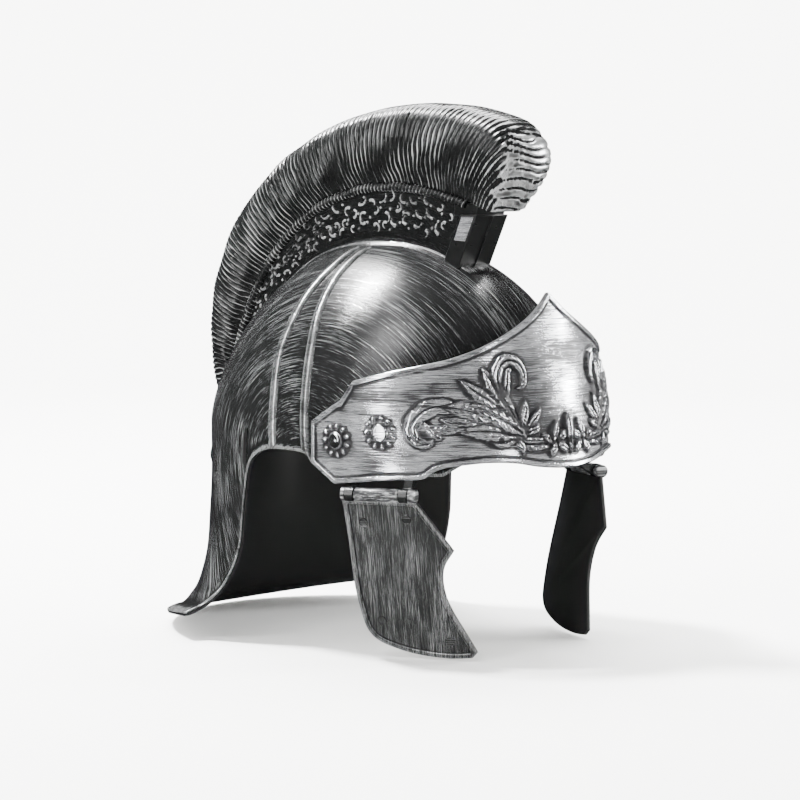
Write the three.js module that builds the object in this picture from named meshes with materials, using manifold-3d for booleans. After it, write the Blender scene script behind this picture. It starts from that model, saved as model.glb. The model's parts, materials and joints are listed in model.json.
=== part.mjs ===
// Roman costume helmet: a thin moulded skull with a swept neck guard, a ridged crest on a scrolled
// holder, a lifting visor with acanthus relief, and two hinged cheek guards.
// Millimetres, +Z up, the face looks along -Y. The origin is where the crown rests on a head:
// the highest point of the hollow, under the middle of the dome.

import * as THREE from 'three';
import { mergeVertices } from 'three/addons/utils/BufferGeometryUtils.js';
import Module from 'manifold-3d';

const wasm = await Module();
wasm.setup();

// Driving dimensions

const clearance = 0.3;

const skullHalfWidth = 100;
const skullHalfLength = 129;
const skullRise = 116;
const skullWall = 2.2;
const neckDepth = 111;
const neckRearDrop = 17;
const neckFlare = 29;
const earArchLength = 58;
const archBehindFront = 107;
const browDepth = 8;
const ribHalfWidth = 3.2;
const ribHeight = 2;
const edgeBeadRadius = 1.6;

const crestHalfWidth = 24.5;
const crestHeight = 56;
const holderHeight = 34;
const crestRidges = 30;
const ridgeDepth = 1;
const holderHalfWidth = 13;
const ropeRadius = 2.3;
const scrollHeight = 1.2;

const visorSideGap = 3;
const visorFrontGap = 13;
const visorSetback = 24;
const visorLean = 0.19;
const visorHeight = 107;
const visorWall = 2;
const visorRimWidth = 3;
const visorRimHeight = 1.1;
const visorRimSlope = 0.7;
const visorBulge = 2.2;
const reliefHeight = 2.4;
const rosetteRadius = 11;
const rosetteHeight = 2;

const pivotBehindFront = 83;
const pivotPinRadius = 2.4;
const pivotHeadRadius = 4.2;
const pivotHeadHeight = 1.6;
const pivotBossRadius = 7;

const guardLength = 101;
const guardWidth = 46;
const guardWall = 2;
const guardRimWidth = 3.2;
const guardRimHeight = 0.9;
const guardToeIn = 24;
const guardTilt = 15;
const hingeInset = 3;
const hingeBehindFront = 54;
const hingeDrop = 30.5;
const hingeBarrelRadius = 4;
const hingePinRadius = 2;
const hingeClipWidth = 5;

// Values that follow from them

const equator = skullWall - skullRise;
const neckBottom = equator - neckDepth;
const browHeight = equator - browDepth;
const hingeHeight = equator - hingeDrop;
const visorDrop = 19;
const visorBase = equator - visorDrop;
const visorHalfWidth = skullHalfWidth + visorSideGap;
const visorLength = skullHalfLength + visorFrontGap - visorSetback;
const pivotSetback = skullHalfLength - pivotBehindFront;
const hingeHalfSpan = skullHalfWidth - hingeInset;
const hingeSetback = skullHalfLength - hingeBehindFront;
const cheekTabDrop = 13;
const cheekTabFoot = browHeight - cheekTabDrop;
const DEGREES = Math.PI / 180;

// Materials

function finish(name, color, roughness, metalness) {
  const material = new THREE.MeshStandardMaterial({ color, roughness, metalness });
  material.name = name;
  return material;
}

const brushedDome = finish('silver_brushed_black', 0x5a5a5a, 0.4, 0.6);
const brushedVisor = finish('brushed_silver', 0x9a9c9e, 0.35, 0.7);
const glossyCrest = finish('glossy_black', 0x2b2c2e, 0.3, 0.4);
const rivetMetal = finish('rivet_silver', 0xb4b6b8, 0.3, 0.9);

// Solids, joins and cuts

function toSolid(geometry) {
  const plain = geometry.clone();
  plain.deleteAttribute('normal');
  plain.deleteAttribute('uv');
  const merged = mergeVertices(plain, 1e-4);
  const mesh = new wasm.Mesh({
    numProp: 3,
    vertProperties: new Float32Array(merged.attributes.position.array),
    triVerts: new Uint32Array(merged.index.array),
  });
  mesh.merge();
  return new wasm.Manifold(mesh);
}

function toGeometry(solid) {
  const mesh = solid.getMesh();
  const geometry = new THREE.BufferGeometry();
  geometry.setAttribute('position', new THREE.BufferAttribute(mesh.vertProperties, 3));
  geometry.setIndex(new THREE.BufferAttribute(mesh.triVerts, 1));
  geometry.computeVertexNormals();
  return geometry;
}

function fuse(solids) {
  return solids.reduce((whole, solid) => whole.add(solid));
}

function indexedSolid(points, faces) {
  const geometry = new THREE.BufferGeometry();
  geometry.setAttribute('position', new THREE.Float32BufferAttribute(points.flatMap((p) => p.toArray()), 3));
  geometry.setIndex(faces.flat());
  const solid = toSolid(geometry);
  if (solid.volume() > 0) {
    return solid;
  }
  geometry.setIndex(faces.map(([a, b, c]) => [a, c, b]).flat());
  return toSolid(geometry);
}

// A loft through closed sections that all have the same number of points, with fanned ends
function loft(sections) {
  const count = sections[0].length;
  const points = sections.flat();
  const faces = [];
  for (let i = 0; i < sections.length - 1; i += 1) {
    for (let j = 0; j < count; j += 1) {
      const a = i * count + j;
      const b = i * count + ((j + 1) % count);
      faces.push([a, b, b + count]);
      faces.push([a, b + count, a + count]);
    }
  }
  const last = (sections.length - 1) * count;
  for (let j = 1; j < count - 1; j += 1) {
    faces.push([0, j + 1, j]);
    faces.push([last, last + j, last + j + 1]);
  }
  return indexedSolid(points, faces);
}

// A thin sheet between a front grid and a back grid of points, closed along its four edges
function sheet(front, back) {
  const rows = front.length;
  const columns = front[0].length;
  const points = [...front.flat(), ...back.flat()];
  const half = rows * columns;
  const at = (i, j) => i * columns + j;
  const faces = [];
  const quad = (a, b, c, d) => faces.push([a, b, c], [a, c, d]);
  for (let i = 0; i < rows - 1; i += 1) {
    for (let j = 0; j < columns - 1; j += 1) {
      quad(at(i, j), at(i + 1, j), at(i + 1, j + 1), at(i, j + 1));
      quad(half + at(i, j), half + at(i, j + 1), half + at(i + 1, j + 1), half + at(i + 1, j));
    }
  }
  for (let i = 0; i < rows - 1; i += 1) {
    const end = columns - 1;
    quad(at(i, 0), half + at(i, 0), half + at(i + 1, 0), at(i + 1, 0));
    quad(at(i, end), at(i + 1, end), half + at(i + 1, end), half + at(i, end));
  }
  for (let j = 0; j < columns - 1; j += 1) {
    const end = rows - 1;
    quad(at(0, j), at(0, j + 1), half + at(0, j + 1), half + at(0, j));
    quad(at(end, j), half + at(end, j), half + at(end, j + 1), at(end, j + 1));
  }
  return indexedSolid(points, faces);
}

function mirrored(solid) {
  return solid.mirror([1, 0, 0]);
}

// Reads a column of a table at a place between its rows, smoothly or straight
function readTable(table, key, place, column, smooth = false) {
  const rows = table.length;
  let i = 0;
  while (i < rows - 2 && place > table[i + 1][key]) {
    i += 1;
  }
  const from = table[i];
  const to = table[i + 1];
  const share = THREE.MathUtils.clamp((place - from[key]) / (to[key] - from[key]), 0, 1);
  if (!smooth) {
    return THREE.MathUtils.lerp(from[column], to[column], share);
  }
  const before = table[Math.max(i - 1, 0)];
  const after = table[Math.min(i + 2, rows - 1)];
  const slopeAt = (low, high) => (high[column] - low[column]) / (high[key] - low[key]);
  const step = to[key] - from[key];
  const startSlope = slopeAt(before, to) * step;
  const endSlope = slopeAt(from, after) * step;
  const s2 = share * share;
  const s3 = s2 * share;
  return (2 * s3 - 3 * s2 + 1) * from[column] + (s3 - 2 * s2 + share) * startSlope
    + (3 * s2 - 2 * s3) * to[column] + (s3 - s2) * endSlope;
}

// Skull: an oval dome, straight sides, and a neck guard that sweeps outwards

// How far the wall has swept out, against how far down the neck it is
const flareTable = [
  { down: 0, out: 0 },
  { down: 0.27, out: 0 },
  { down: 0.49, out: 0.05 },
  { down: 0.67, out: 0.11 },
  { down: 0.83, out: 0.28 },
  { down: 0.9, out: 0.43 },
  { down: 0.96, out: 0.64 },
  { down: 1, out: 1 },
];

const frontFullness = 2;
const rearFullness = 1.5;

// The dome is rounder over the face than over the nape
function domeShrink(rise, forward) {
  const fullness = (frontFullness + rearFullness) / 2 + ((frontFullness - rearFullness) / 2) * forward;
  return Math.sqrt(Math.max(0, 1 - THREE.MathUtils.clamp(rise, 0, 1) ** fullness));
}

function neckEdge(forward) {
  return neckBottom - neckRearDrop * Math.max(0, -forward) ** 2;
}

// A point of the skull's outside. The angle runs round from the face; level is 1 at the crown,
// 0 at the equator and -1 at the neck guard's edge.
function skullPoint(angle, level) {
  const forward = Math.cos(angle);
  const above = Math.max(level, 0);
  const shrink = domeShrink(above, forward);
  const out = neckFlare * readTable(flareTable, 'down', Math.max(-level, 0), 'out');
  const height = level >= 0 ? equator + skullRise * level : equator + (equator - neckEdge(forward)) * level;
  return new THREE.Vector3(
    -(skullHalfWidth * shrink + out) * Math.sin(angle),
    -(skullHalfLength * shrink + out) * forward,
    height,
  );
}

function skullNormal(angle, level) {
  const small = 0.004;
  const side = skullPoint(angle + small, level).sub(skullPoint(angle - small, level));
  const up = skullPoint(angle, Math.min(level + small, 0.999)).sub(skullPoint(angle, level - small));
  return side.cross(up).normalize().negate();
}

// The half width of the skull's outside at a place of the side view
function skullReach(y, z) {
  const level = z >= equator ? (z - equator) / skullRise : (z - equator) / (equator - neckBottom);
  const forward = THREE.MathUtils.clamp(-y / skullHalfLength, -1, 1);
  const shrink = domeShrink(Math.max(level, 0), forward);
  const out = neckFlare * readTable(flareTable, 'down', Math.max(-level, 0), 'out');
  const across = y / (skullHalfLength * shrink + out);
  return (skullHalfWidth * shrink + out) * Math.sqrt(Math.max(0, 1 - across * across));
}

const skullColumns = 36;
const crownLevels = [0.98, 0.92, 0.83, 0.7, 0.54, 0.36, 0.18, 0];
const neckLevels = [-0.3, -0.56, -0.75, -0.87, -0.95, -1];

function skullShell() {
  const levels = [...crownLevels, ...neckLevels];
  const top = new THREE.Vector3(0, 0, equator + skullRise);
  const outside = [top];
  const inside = [new THREE.Vector3(0, 0, top.z - skullWall)];
  for (const level of levels) {
    for (let j = 0; j < skullColumns; j += 1) {
      const angle = (j / skullColumns) * 2 * Math.PI;
      const point = skullPoint(angle, level);
      const normal = skullNormal(angle, level);
      outside.push(point);
      inside.push(point.clone().addScaledVector(normal, -skullWall));
    }
  }
  const shift = outside.length;
  const faces = [];
  for (let j = 0; j < skullColumns; j += 1) {
    const next = (j + 1) % skullColumns;
    faces.push([0, 1 + j, 1 + next]);
    faces.push([shift, shift + 1 + next, shift + 1 + j]);
    for (let i = 0; i < levels.length - 1; i += 1) {
      const a = 1 + i * skullColumns + j;
      const b = 1 + i * skullColumns + next;
      const c = b + skullColumns;
      const d = a + skullColumns;
      faces.push([a, d, c], [a, c, b]);
      faces.push([shift + a, shift + c, shift + d], [shift + a, shift + b, shift + c]);
    }
    const a = 1 + (levels.length - 1) * skullColumns + j;
    const b = 1 + (levels.length - 1) * skullColumns + next;
    faces.push([a, shift + a, shift + b], [a, shift + b, b]);
  }
  return indexedSolid([...outside, ...inside], faces);
}

// Side view of the open face and the ear arch, from the brow back to the neck guard's corner.
// The y column is in shares of the arch's length behind its front, the z column in shares of the
// neck's depth under the equator.
const archTable = [
  { y: 0, z: 0.14 },
  { y: 0.06, z: 0.1 },
  { y: 0.18, z: 0.083 },
  { y: 0.5, z: 0.08 },
  { y: 0.72, z: 0.1 },
  { y: 0.9, z: 0.16 },
  { y: 0.98, z: 0.25 },
  { y: 1.02, z: 0.37 },
  { y: 1.04, z: 0.5 },
  { y: 1.06, z: 0.62 },
  { y: 1.12, z: 0.74 },
  { y: 1.23, z: 0.86 },
  { y: 1.36, z: 0.94 },
  { y: 1.52, z: 1.0 },
];
const archFront = archBehindFront - skullHalfLength;

function archPoint(row) {
  return new THREE.Vector2(archFront + row.y * earArchLength, equator - row.z * neckDepth);
}

// A solid that is cut across the whole helmet, from its outline in the side view
function sideCutter(outline) {
  const shape = new THREE.Shape(outline);
  const span = 4 * skullHalfWidth;
  const geometry = new THREE.ExtrudeGeometry(shape, { depth: span, bevelEnabled: false });
  geometry.rotateX(Math.PI / 2);
  geometry.rotateZ(Math.PI / 2);
  geometry.translate(-span / 2, 0, 0);
  return toSolid(geometry);
}

// How far the cheek tab's lower edge takes to rise to the brow and to the ear arch
const cheekTabSlope = 16;

function faceCutter() {
  const far = 2 * skullHalfLength;
  const earTab = archFront - cheekTabSlope;
  const cheekFront = -hingeSetback - guardWidth / 2;
  const outline = archTable.map(archPoint);
  const corner = outline[outline.length - 1];
  outline.push(new THREE.Vector2(corner.x, neckBottom - far));
  outline.push(new THREE.Vector2(-far, neckBottom - far));
  outline.push(new THREE.Vector2(-far, browHeight));
  outline.push(new THREE.Vector2(cheekFront - cheekTabSlope, browHeight));
  outline.push(new THREE.Vector2(cheekFront, cheekTabFoot));
  outline.push(new THREE.Vector2(earTab, cheekTabFoot));
  return sideCutter(outline);
}

// Ribs: two raised bands down each side. Heights are shares from the equator to the crown, places
// are shares of the skull's half length.
const frontRib = [
  { rise: -0.06, y: -0.135 },
  { rise: 0.18, y: -0.116 },
  { rise: 0.42, y: -0.084 },
  { rise: 0.64, y: -0.04 },
  { rise: 0.82, y: -0.02 },
  { rise: 0.93, y: -0.03 },
];
const rearRib = [
  { rise: -0.06, y: 0.07 },
  { rise: 0.18, y: 0.085 },
  { rise: 0.42, y: 0.118 },
  { rise: 0.62, y: 0.109 },
  { rise: 0.76, y: 0.088 },
  { rise: 0.86, y: 0.058 },
  { rise: 0.93, y: 0.045 },
];
const ribSection = [
  { across: -1, up: 0 },
  { across: -0.4, up: 1 },
  { across: 0.4, up: 1 },
  { across: 1, up: 0 },
];
const ribSteps = 9;

// A point on the near side of the skull, lifted off it by so much
function skullSide(y, z, lift) {
  const x = -skullReach(y, z);
  const small = 0.5;
  const alongY = new THREE.Vector3(skullReach(y - small, z) - skullReach(y + small, z), 2 * small, 0);
  const alongZ = new THREE.Vector3(skullReach(y, z - small) - skullReach(y, z + small), 0, 2 * small);
  const normal = alongY.cross(alongZ).normalize();
  if (normal.x > 0) {
    normal.negate();
  }
  return new THREE.Vector3(x, y, z).addScaledVector(normal, lift);
}

function ribSolid(table) {
  const sections = [];
  const first = table[0].rise;
  const last = table[table.length - 1].rise;
  for (let i = 0; i <= ribSteps; i += 1) {
    const rise = first + ((last - first) * i) / ribSteps;
    const y = skullHalfLength * readTable(table, 'rise', rise, 'y', true);
    const z = equator + skullRise * rise;
    const ring = ribSection.map((p) => skullSide(y + p.across * ribHalfWidth, z, p.up * (ribHeight + 1) - 1));
    sections.push([...ring, skullSide(y, z, -skullWall * 0.7)]);
  }
  return loft(sections);
}

// Bead round the ear arch and along the neck guard's edge
function ringAround(centre, ahead, outward, radius, sides) {
  const across = ahead.clone().cross(outward).normalize();
  const up = across.clone().cross(ahead).normalize();
  const ring = [];
  for (let k = 0; k < sides; k += 1) {
    const turn = (k / sides) * 2 * Math.PI;
    const offset = up.clone().multiplyScalar(Math.cos(turn) * radius);
    offset.addScaledVector(across, Math.sin(turn) * radius);
    ring.push(centre.clone().add(offset));
  }
  return ring;
}

function beadAlong(points, radius, sides = 4) {
  const sections = points.map((point, i) => {
    const before = points[Math.max(i - 1, 0)];
    const after = points[Math.min(i + 1, points.length - 1)];
    const ahead = after.clone().sub(before).normalize();
    const outward = new THREE.Vector3(point.x, point.y, 0).normalize();
    return ringAround(point, ahead, outward, radius, sides);
  });
  return loft(sections);
}

function skullEdgeBead() {
  const side = archTable.map((row) => {
    const p = archPoint(row);
    return skullSide(p.x, p.y, -skullWall / 2);
  });
  const corner = side[side.length - 1];
  const cornerAngle = Math.atan2(-corner.x, -corner.y);
  const rear = [];
  const steps = 12;
  for (let i = 1; i < steps; i += 1) {
    const angle = cornerAngle + ((2 * Math.PI - 2 * cornerAngle) * i) / steps;
    const point = skullPoint(angle, -1);
    rear.push(point.addScaledVector(skullNormal(angle, -1), -skullWall / 2));
  }
  const farSide = side.map((p) => new THREE.Vector3(-p.x, p.y, p.z)).reverse();
  return beadAlong([...side, ...rear, ...farSide], edgeBeadRadius);
}

// Saddle: the smooth raised flange on the crown, under the crest holder
const saddleTable = [
  { turn: -36, half: 0.6 },
  { turn: -24, half: 0.72 },
  { turn: -12, half: 0.95 },
  { turn: 0, half: 1.25 },
  { turn: 12, half: 1.35 },
  { turn: 26, half: 1.2 },
  { turn: 42, half: 1 },
  { turn: 58, half: 0.8 },
  { turn: 72, half: 0.72 },
  { turn: 86, half: 0.68 },
  { turn: 103, half: 0.66 },
];
const saddleHalfWidth = 21;
const saddleHeight = 1.6;

const skullMiddle = new THREE.Vector3(0, 0, equator);

// The point of the skull's outside that a line from the middle of the equator meets
function skullAlong(direction, lift) {
  let near = 0;
  let far = 2 * skullHalfLength;
  const unit = direction.clone().normalize();
  for (let i = 0; i < 30; i += 1) {
    const middle = (near + far) / 2;
    const p = unit.clone().multiplyScalar(middle);
    const rise = p.z / skullRise;
    const forward = -p.y / Math.hypot(p.x, p.y, 1e-6);
    const shrink = domeShrink(rise, forward);
    const inside = rise < 1 && Math.hypot(p.x / skullHalfWidth, p.y / skullHalfLength) < shrink;
    if (inside) {
      near = middle;
    } else {
      far = middle;
    }
  }
  return unit.multiplyScalar(near + lift).add(skullMiddle);
}

// The flange itself, or with a gap the cutter that fits what is seated on it
function saddleSolid(gap = 0) {
  const seatDepth = gap > 0 ? 4 * skullWall : 1.6;
  const edgeLift = gap > 0 ? saddleHeight + gap : -1.2;
  const sections = saddleTable.map((row) => {
    const turn = row.turn * DEGREES;
    const flange = row.half * saddleHalfWidth;
    const half = gap > 0 ? Math.max(flange, holderHalfWidth + 2 * ropeRadius) : flange;
    const middle = new THREE.Vector3(0, Math.sin(turn), Math.cos(turn)).multiplyScalar(skullRise);
    const across = [-1, -0.85, -0.3, 0.3, 0.85, 1];
    const top = across.map((a) => {
      const direction = middle.clone().setX(a * half);
      const lift = Math.abs(a) === 1 ? edgeLift : saddleHeight + gap;
      return skullAlong(direction, lift);
    });
    const under = [0.5, -0.5].map((a) => skullAlong(middle.clone().setX(a * half), -seatDepth));
    return [...top, ...under];
  });
  return loft(sections);
}

// Hinge axes of the cheek guards: toed in towards the face, just under the visor's edge
const toeIn = guardToeIn * DEGREES;
const tilt = guardTilt * DEGREES;
const hingeAhead = new THREE.Vector3(Math.sin(toeIn), -Math.cos(toeIn), 0);
const hingeInward = new THREE.Vector3(Math.cos(toeIn), Math.sin(toeIn), 0);
const hingeCentre = new THREE.Vector3(-hingeHalfSpan, -hingeSetback, hingeHeight);

// A point by its place along the hinge, how far inward and how high over the axis it is
function hingePoint(along, inward, up) {
  return hingeCentre.clone()
    .addScaledVector(hingeAhead, along)
    .addScaledVector(hingeInward, inward)
    .add(new THREE.Vector3(0, 0, up));
}

function cylinderBetween(from, to, radius, sides = 8) {
  const ahead = to.clone().sub(from).normalize();
  const outward = Math.abs(ahead.z) < 0.9 ? new THREE.Vector3(0, 0, 1) : new THREE.Vector3(1, 0, 0);
  return loft([
    ringAround(from, ahead, outward, radius, sides),
    ringAround(to, ahead, outward, radius, sides),
  ]);
}

const hingeClipPlaces = [-0.39, 0.33];
const hingeRingWall = 2;
const hingeRingRadius = hingePinRadius + clearance + hingeRingWall;

// The clip's root grips the skull's edge from a little under it to a little over it
const clipBelow = 3.5;
const clipAbove = 4.5;
const clipThickness = 3.2;
const tabEdge = cheekTabFoot - hingeHeight;

// How far inward from the axis the skull's wall lies
function inwardToSkull(along) {
  let inward = 0;
  let point = hingePoint(along, inward, 0);
  while (-point.x > skullReach(point.y, browHeight) - skullWall / 2) {
    inward += 0.25;
    point = hingePoint(along, inward, 0);
  }
  return inward;
}

// A clip: an arm that reaches out from the skull's lower edge to a ring round the hinge pin
function hingeClip(along) {
  const half = hingeClipWidth / 2;
  const ringEnds = [-half, half].map((side) => hingePoint(along + side, 0, 0));
  const ring = cylinderBetween(...ringEnds, hingeRingRadius);
  const bore = cylinderBetween(
    hingePoint(along - hingeClipWidth, 0, 0),
    hingePoint(along + hingeClipWidth, 0, 0),
    hingePinRadius + clearance,
  );
  const reach = inwardToSkull(along);
  const profile = [
    { inward: hingeRingRadius * 1.7, up: hingeRingRadius * 0.85 },
    { inward: 0, up: hingeRingRadius * 0.85 },
    { inward: 0, up: -hingeRingRadius * 0.35 },
    { inward: hingeRingRadius, up: -hingeRingRadius * 0.35 },
    { inward: reach, up: tabEdge - clipBelow },
    { inward: reach, up: tabEdge + clipAbove },
    { inward: reach - clipThickness, up: tabEdge + clipAbove },
  ];
  const arm = loft([-half, half].map((side) => profile.map((p) => hingePoint(along + side, p.inward, p.up))));
  return arm.add(ring).subtract(bore);
}

// Bosses that space the visor off the skull at its pivots
function visorWallHalfWidth(y, z) {
  const length = visorLength - visorLean * (z - visorBase);
  const share = Math.min(1, Math.abs(y + visorSetback) / length);
  return visorHalfWidth * (1 - share ** visorBulge) ** (1 / visorBulge);
}

const pivotHeight = equator;
const pivotWallFace = visorWallHalfWidth(-pivotSetback, pivotHeight);
const pivotPoint = (x) => new THREE.Vector3(-x, -pivotSetback, pivotHeight);

function pivotBoss() {
  const root = skullReach(-pivotSetback, pivotHeight) - skullWall * 0.6;
  const bossEdges = [-pivotSetback - pivotBossRadius, pivotBossRadius - pivotSetback];
  const narrowest = Math.min(...bossEdges.map((y) => visorWallHalfWidth(y, pivotHeight)));
  const face = narrowest - 1.1 * visorWall - 2 * clearance;
  const boreEnds = [root - 4 * skullWall, face + clearance].map(pivotPoint);
  const bore = cylinderBetween(...boreEnds, pivotPinRadius + clearance);
  const boss = cylinderBetween(pivotPoint(root), pivotPoint(face), pivotBossRadius, 12);
  return { boss, bore };
}

function makeSkull() {
  const { boss, bore } = pivotBoss();
  const ribs = [ribSolid(frontRib), ribSolid(rearRib)];
  const clips = hingeClipPlaces.map((share) => hingeClip(share * guardWidth));
  const nearPieces = [...ribs, boss, ...clips];
  const pieces = [...nearPieces, ...nearPieces.map(mirrored)];
  const shell = skullShell().subtract(faceCutter());
  return fuse([shell, saddleSolid(), skullEdgeBead(), ...pieces]).subtract(bore).subtract(mirrored(bore));
}

// Crest. A turn is the angle from straight up, seen from the side about the middle of the equator,
// and is positive to the rear. Base is in shares of the holder's height over the skull, height and
// half in shares of the crest's height and half width.
const crestTable = [
  { turn: -36.6, base: 1.539, height: 0.36, half: 0.25 },
  { turn: -35.6, base: 1.347, height: 0.62, half: 0.58 },
  { turn: -33.6, base: 1.195, height: 0.85, half: 0.84 },
  { turn: -30.5, base: 1.146, height: 0.96, half: 0.96 },
  { turn: -27, base: 1.138, height: 1, half: 1 },
  { turn: -19, base: 1.088, height: 0.965, half: 1 },
  { turn: -7, base: 1.039, height: 0.885, half: 0.98 },
  { turn: 3, base: 1.000, height: 0.82, half: 0.97 },
  { turn: 13, base: 0.953, height: 0.777, half: 0.95 },
  { turn: 24, base: 0.914, height: 0.732, half: 0.93 },
  { turn: 34, base: 0.831, height: 0.72, half: 0.9 },
  { turn: 47, base: 0.696, height: 0.696, half: 0.88 },
  { turn: 59, base: 0.533, height: 0.616, half: 0.84 },
  { turn: 69, base: 0.403, height: 0.5, half: 0.78 },
  { turn: 77, base: 0.283, height: 0.384, half: 0.7 },
  { turn: 84, base: 0.195, height: 0.286, half: 0.6 },
  { turn: 88, base: 0.153, height: 0.2, half: 0.46 },
  { turn: 90.5, base: 0.141, height: 0.107, half: 0.3 },
];
const crestSection = [
  { across: 0.6, up: 0 },
  { across: 0.88, up: 0.24 },
  { across: 1, up: 0.55 },
  { across: 0.94, up: 0.78 },
  { across: 0.72, up: 0.92 },
  { across: 0.38, up: 0.985 },
  { across: 0, up: 1 },
];
const crestFront = crestTable[0].turn;
const crestRear = crestTable[crestTable.length - 1].turn;

function crestPoint(turn, radius, across) {
  const angle = turn * DEGREES;
  return new THREE.Vector3(across, radius * Math.sin(angle), equator + radius * Math.cos(angle));
}

// How far from the middle the skull's outside lies in the side view
function skullRadius(turn) {
  const angle = turn * DEGREES;
  return skullAlong(new THREE.Vector3(0, Math.sin(angle), Math.cos(angle)), 0).sub(skullMiddle).length();
}

function crestBase(turn) {
  return skullRadius(turn) + holderHeight * readTable(crestTable, 'turn', turn, 'base', true);
}

function crestRing(turn, depth) {
  const base = crestBase(turn);
  const height = crestHeight * readTable(crestTable, 'turn', turn, 'height', true);
  const half = crestHalfWidth * readTable(crestTable, 'turn', turn, 'half', true);
  const side = crestSection.map((p) => {
    const sunk = p.up === 0 ? 0 : depth;
    return { across: p.across * half - sunk * p.across, radius: base + p.up * (height - sunk) };
  });
  const right = side.map((p) => crestPoint(turn, p.radius, -p.across));
  const left = side.slice(0, -1).reverse().map((p) => crestPoint(turn, p.radius, p.across));
  return [...right, ...left];
}

function makeCrest() {
  const sections = [];
  const steps = 2 * crestRidges;
  for (let i = 0; i <= steps; i += 1) {
    const turn = crestFront + ((crestRear - crestFront) * i) / steps;
    const depth = i % 2 === 1 ? ridgeDepth : 0;
    sections.push(crestRing(turn, i === 0 || i === steps ? 0 : depth));
  }
  return loft(sections);
}

// Holder: the scrolled plate between the dome and the crest, its square front block and curled tail
const holderFrontTurn = -27;
const holderRearTurn = 98;
const blockHalfWidth = 15;

// How far the plate is drawn into the skull before it is cut to fit
const plateRoot = 8;

const tailHalfWidth = 8;
const tailLength = 28;
const tailDrop = 34;

// Side view of the front block: turns, and levels in shares of the holder's height over the skull
const blockTable = [
  { turn: -26.3, level: 0.71 },
  { turn: -31.3, level: 0.89 },
  { turn: -33.1, level: -0.09 },
  { turn: -26.2, level: -0.28 },
];

// Side view of the tail: shares of its length behind the skull and of its drop
const tailTable = [
  { out: -0.21, down: 0 },
  { out: 0.5, down: 0.15 },
  { out: 0.93, down: 0.59 },
  { out: 1, down: 0.88 },
  { out: 0.75, down: 1 },
  { out: 0.46, down: 0.82 },
  { out: -0.21, down: 0.65 },
];

function plateFromSide(outline, halfWidth) {
  const shape = new THREE.Shape(outline);
  const geometry = new THREE.ExtrudeGeometry(shape, { depth: 2 * halfWidth, bevelEnabled: false });
  geometry.rotateX(Math.PI / 2);
  geometry.rotateZ(Math.PI / 2);
  geometry.translate(-halfWidth, 0, 0);
  return toSolid(geometry);
}

// The skull's outside with a running gap, as a cutter for what sits on it
function skullBlank(gap) {
  const columns = 56;
  const upper = [0.9999, 0.992, 0.965, 0.92, 0.85, 0.76, 0.66, 0.54, 0.42];
  const levels = [...upper, 0.34, 0.27, 0.2, 0.14, 0.1, 0.06, 0.03, 0, -0.27, -0.4];
  const sections = levels.map((level) => {
    const ring = [];
    for (let j = 0; j < columns; j += 1) {
      const angle = (j / columns) * 2 * Math.PI;
      ring.push(skullPoint(angle, level).addScaledVector(skullNormal(angle, level), gap));
    }
    return ring;
  });
  return loft(sections);
}

// Rope bead along the top edge of the holder's near side
const ropeSteps = 16;

function ropeSolid() {
  const sections = [];
  for (let i = 0; i <= ropeSteps; i += 1) {
    const turn = holderFrontTurn + ((holderRearTurn - 6 - holderFrontTurn) * i) / ropeSteps;
    const middle = crestPoint(turn, crestBase(turn) - ropeRadius - clearance * 2, -holderHalfWidth);
    const angle = turn * DEGREES;
    const up = new THREE.Vector3(0, Math.sin(angle), Math.cos(angle));
    const ring = [];
    for (let k = 0; k < 4; k += 1) {
      const spin = (k / 4) * 2 * Math.PI;
      const offset = up.clone().multiplyScalar(Math.cos(spin) * ropeRadius);
      offset.x += Math.sin(spin) * ropeRadius;
      ring.push(middle.clone().add(offset));
    }
    sections.push(ring);
  }
  return loft(sections);
}

// Scrolls on the holder's near side: where each starts and ends, as turns and as shares of the
// plate's height between the dome and the rope
const scrolls = [
  { from: -24, low: 0.3, to: -18, high: 0.75 },
  { from: -17, low: 0.7, to: -9, high: 0.35 },
  { from: -7, low: 0.25, to: 1, high: 0.7 },
  { from: 3, low: 0.65, to: 11, high: 0.35 },
  { from: 13, low: 0.25, to: 21, high: 0.7 },
  { from: 24, low: 0.65, to: 34, high: 0.35 },
  { from: 38, low: 0.3, to: 48, high: 0.65 },
];
const scrollHalfWidth = 2.4;

function scrollSolid(scroll) {
  const sections = [0, 0.35, 0.7, 1].map((share) => {
    const turn = THREE.MathUtils.lerp(scroll.from, scroll.to, share);
    const level = THREE.MathUtils.lerp(scroll.low, scroll.high, share) + 0.12 * Math.sin(2 * Math.PI * share);
    const lowest = skullRadius(turn) + saddleHeight;
    const radius = THREE.MathUtils.lerp(lowest, crestBase(turn) - 2 * ropeRadius, level);
    const half = scrollHalfWidth * (0.5 + 0.5 * Math.sin(Math.PI * share));
    return [
      crestPoint(turn, radius - half, -holderHalfWidth + 0.5),
      crestPoint(turn, radius, -holderHalfWidth - scrollHeight),
      crestPoint(turn, radius + half, -holderHalfWidth + 0.5),
    ];
  });
  return loft(sections);
}

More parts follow.
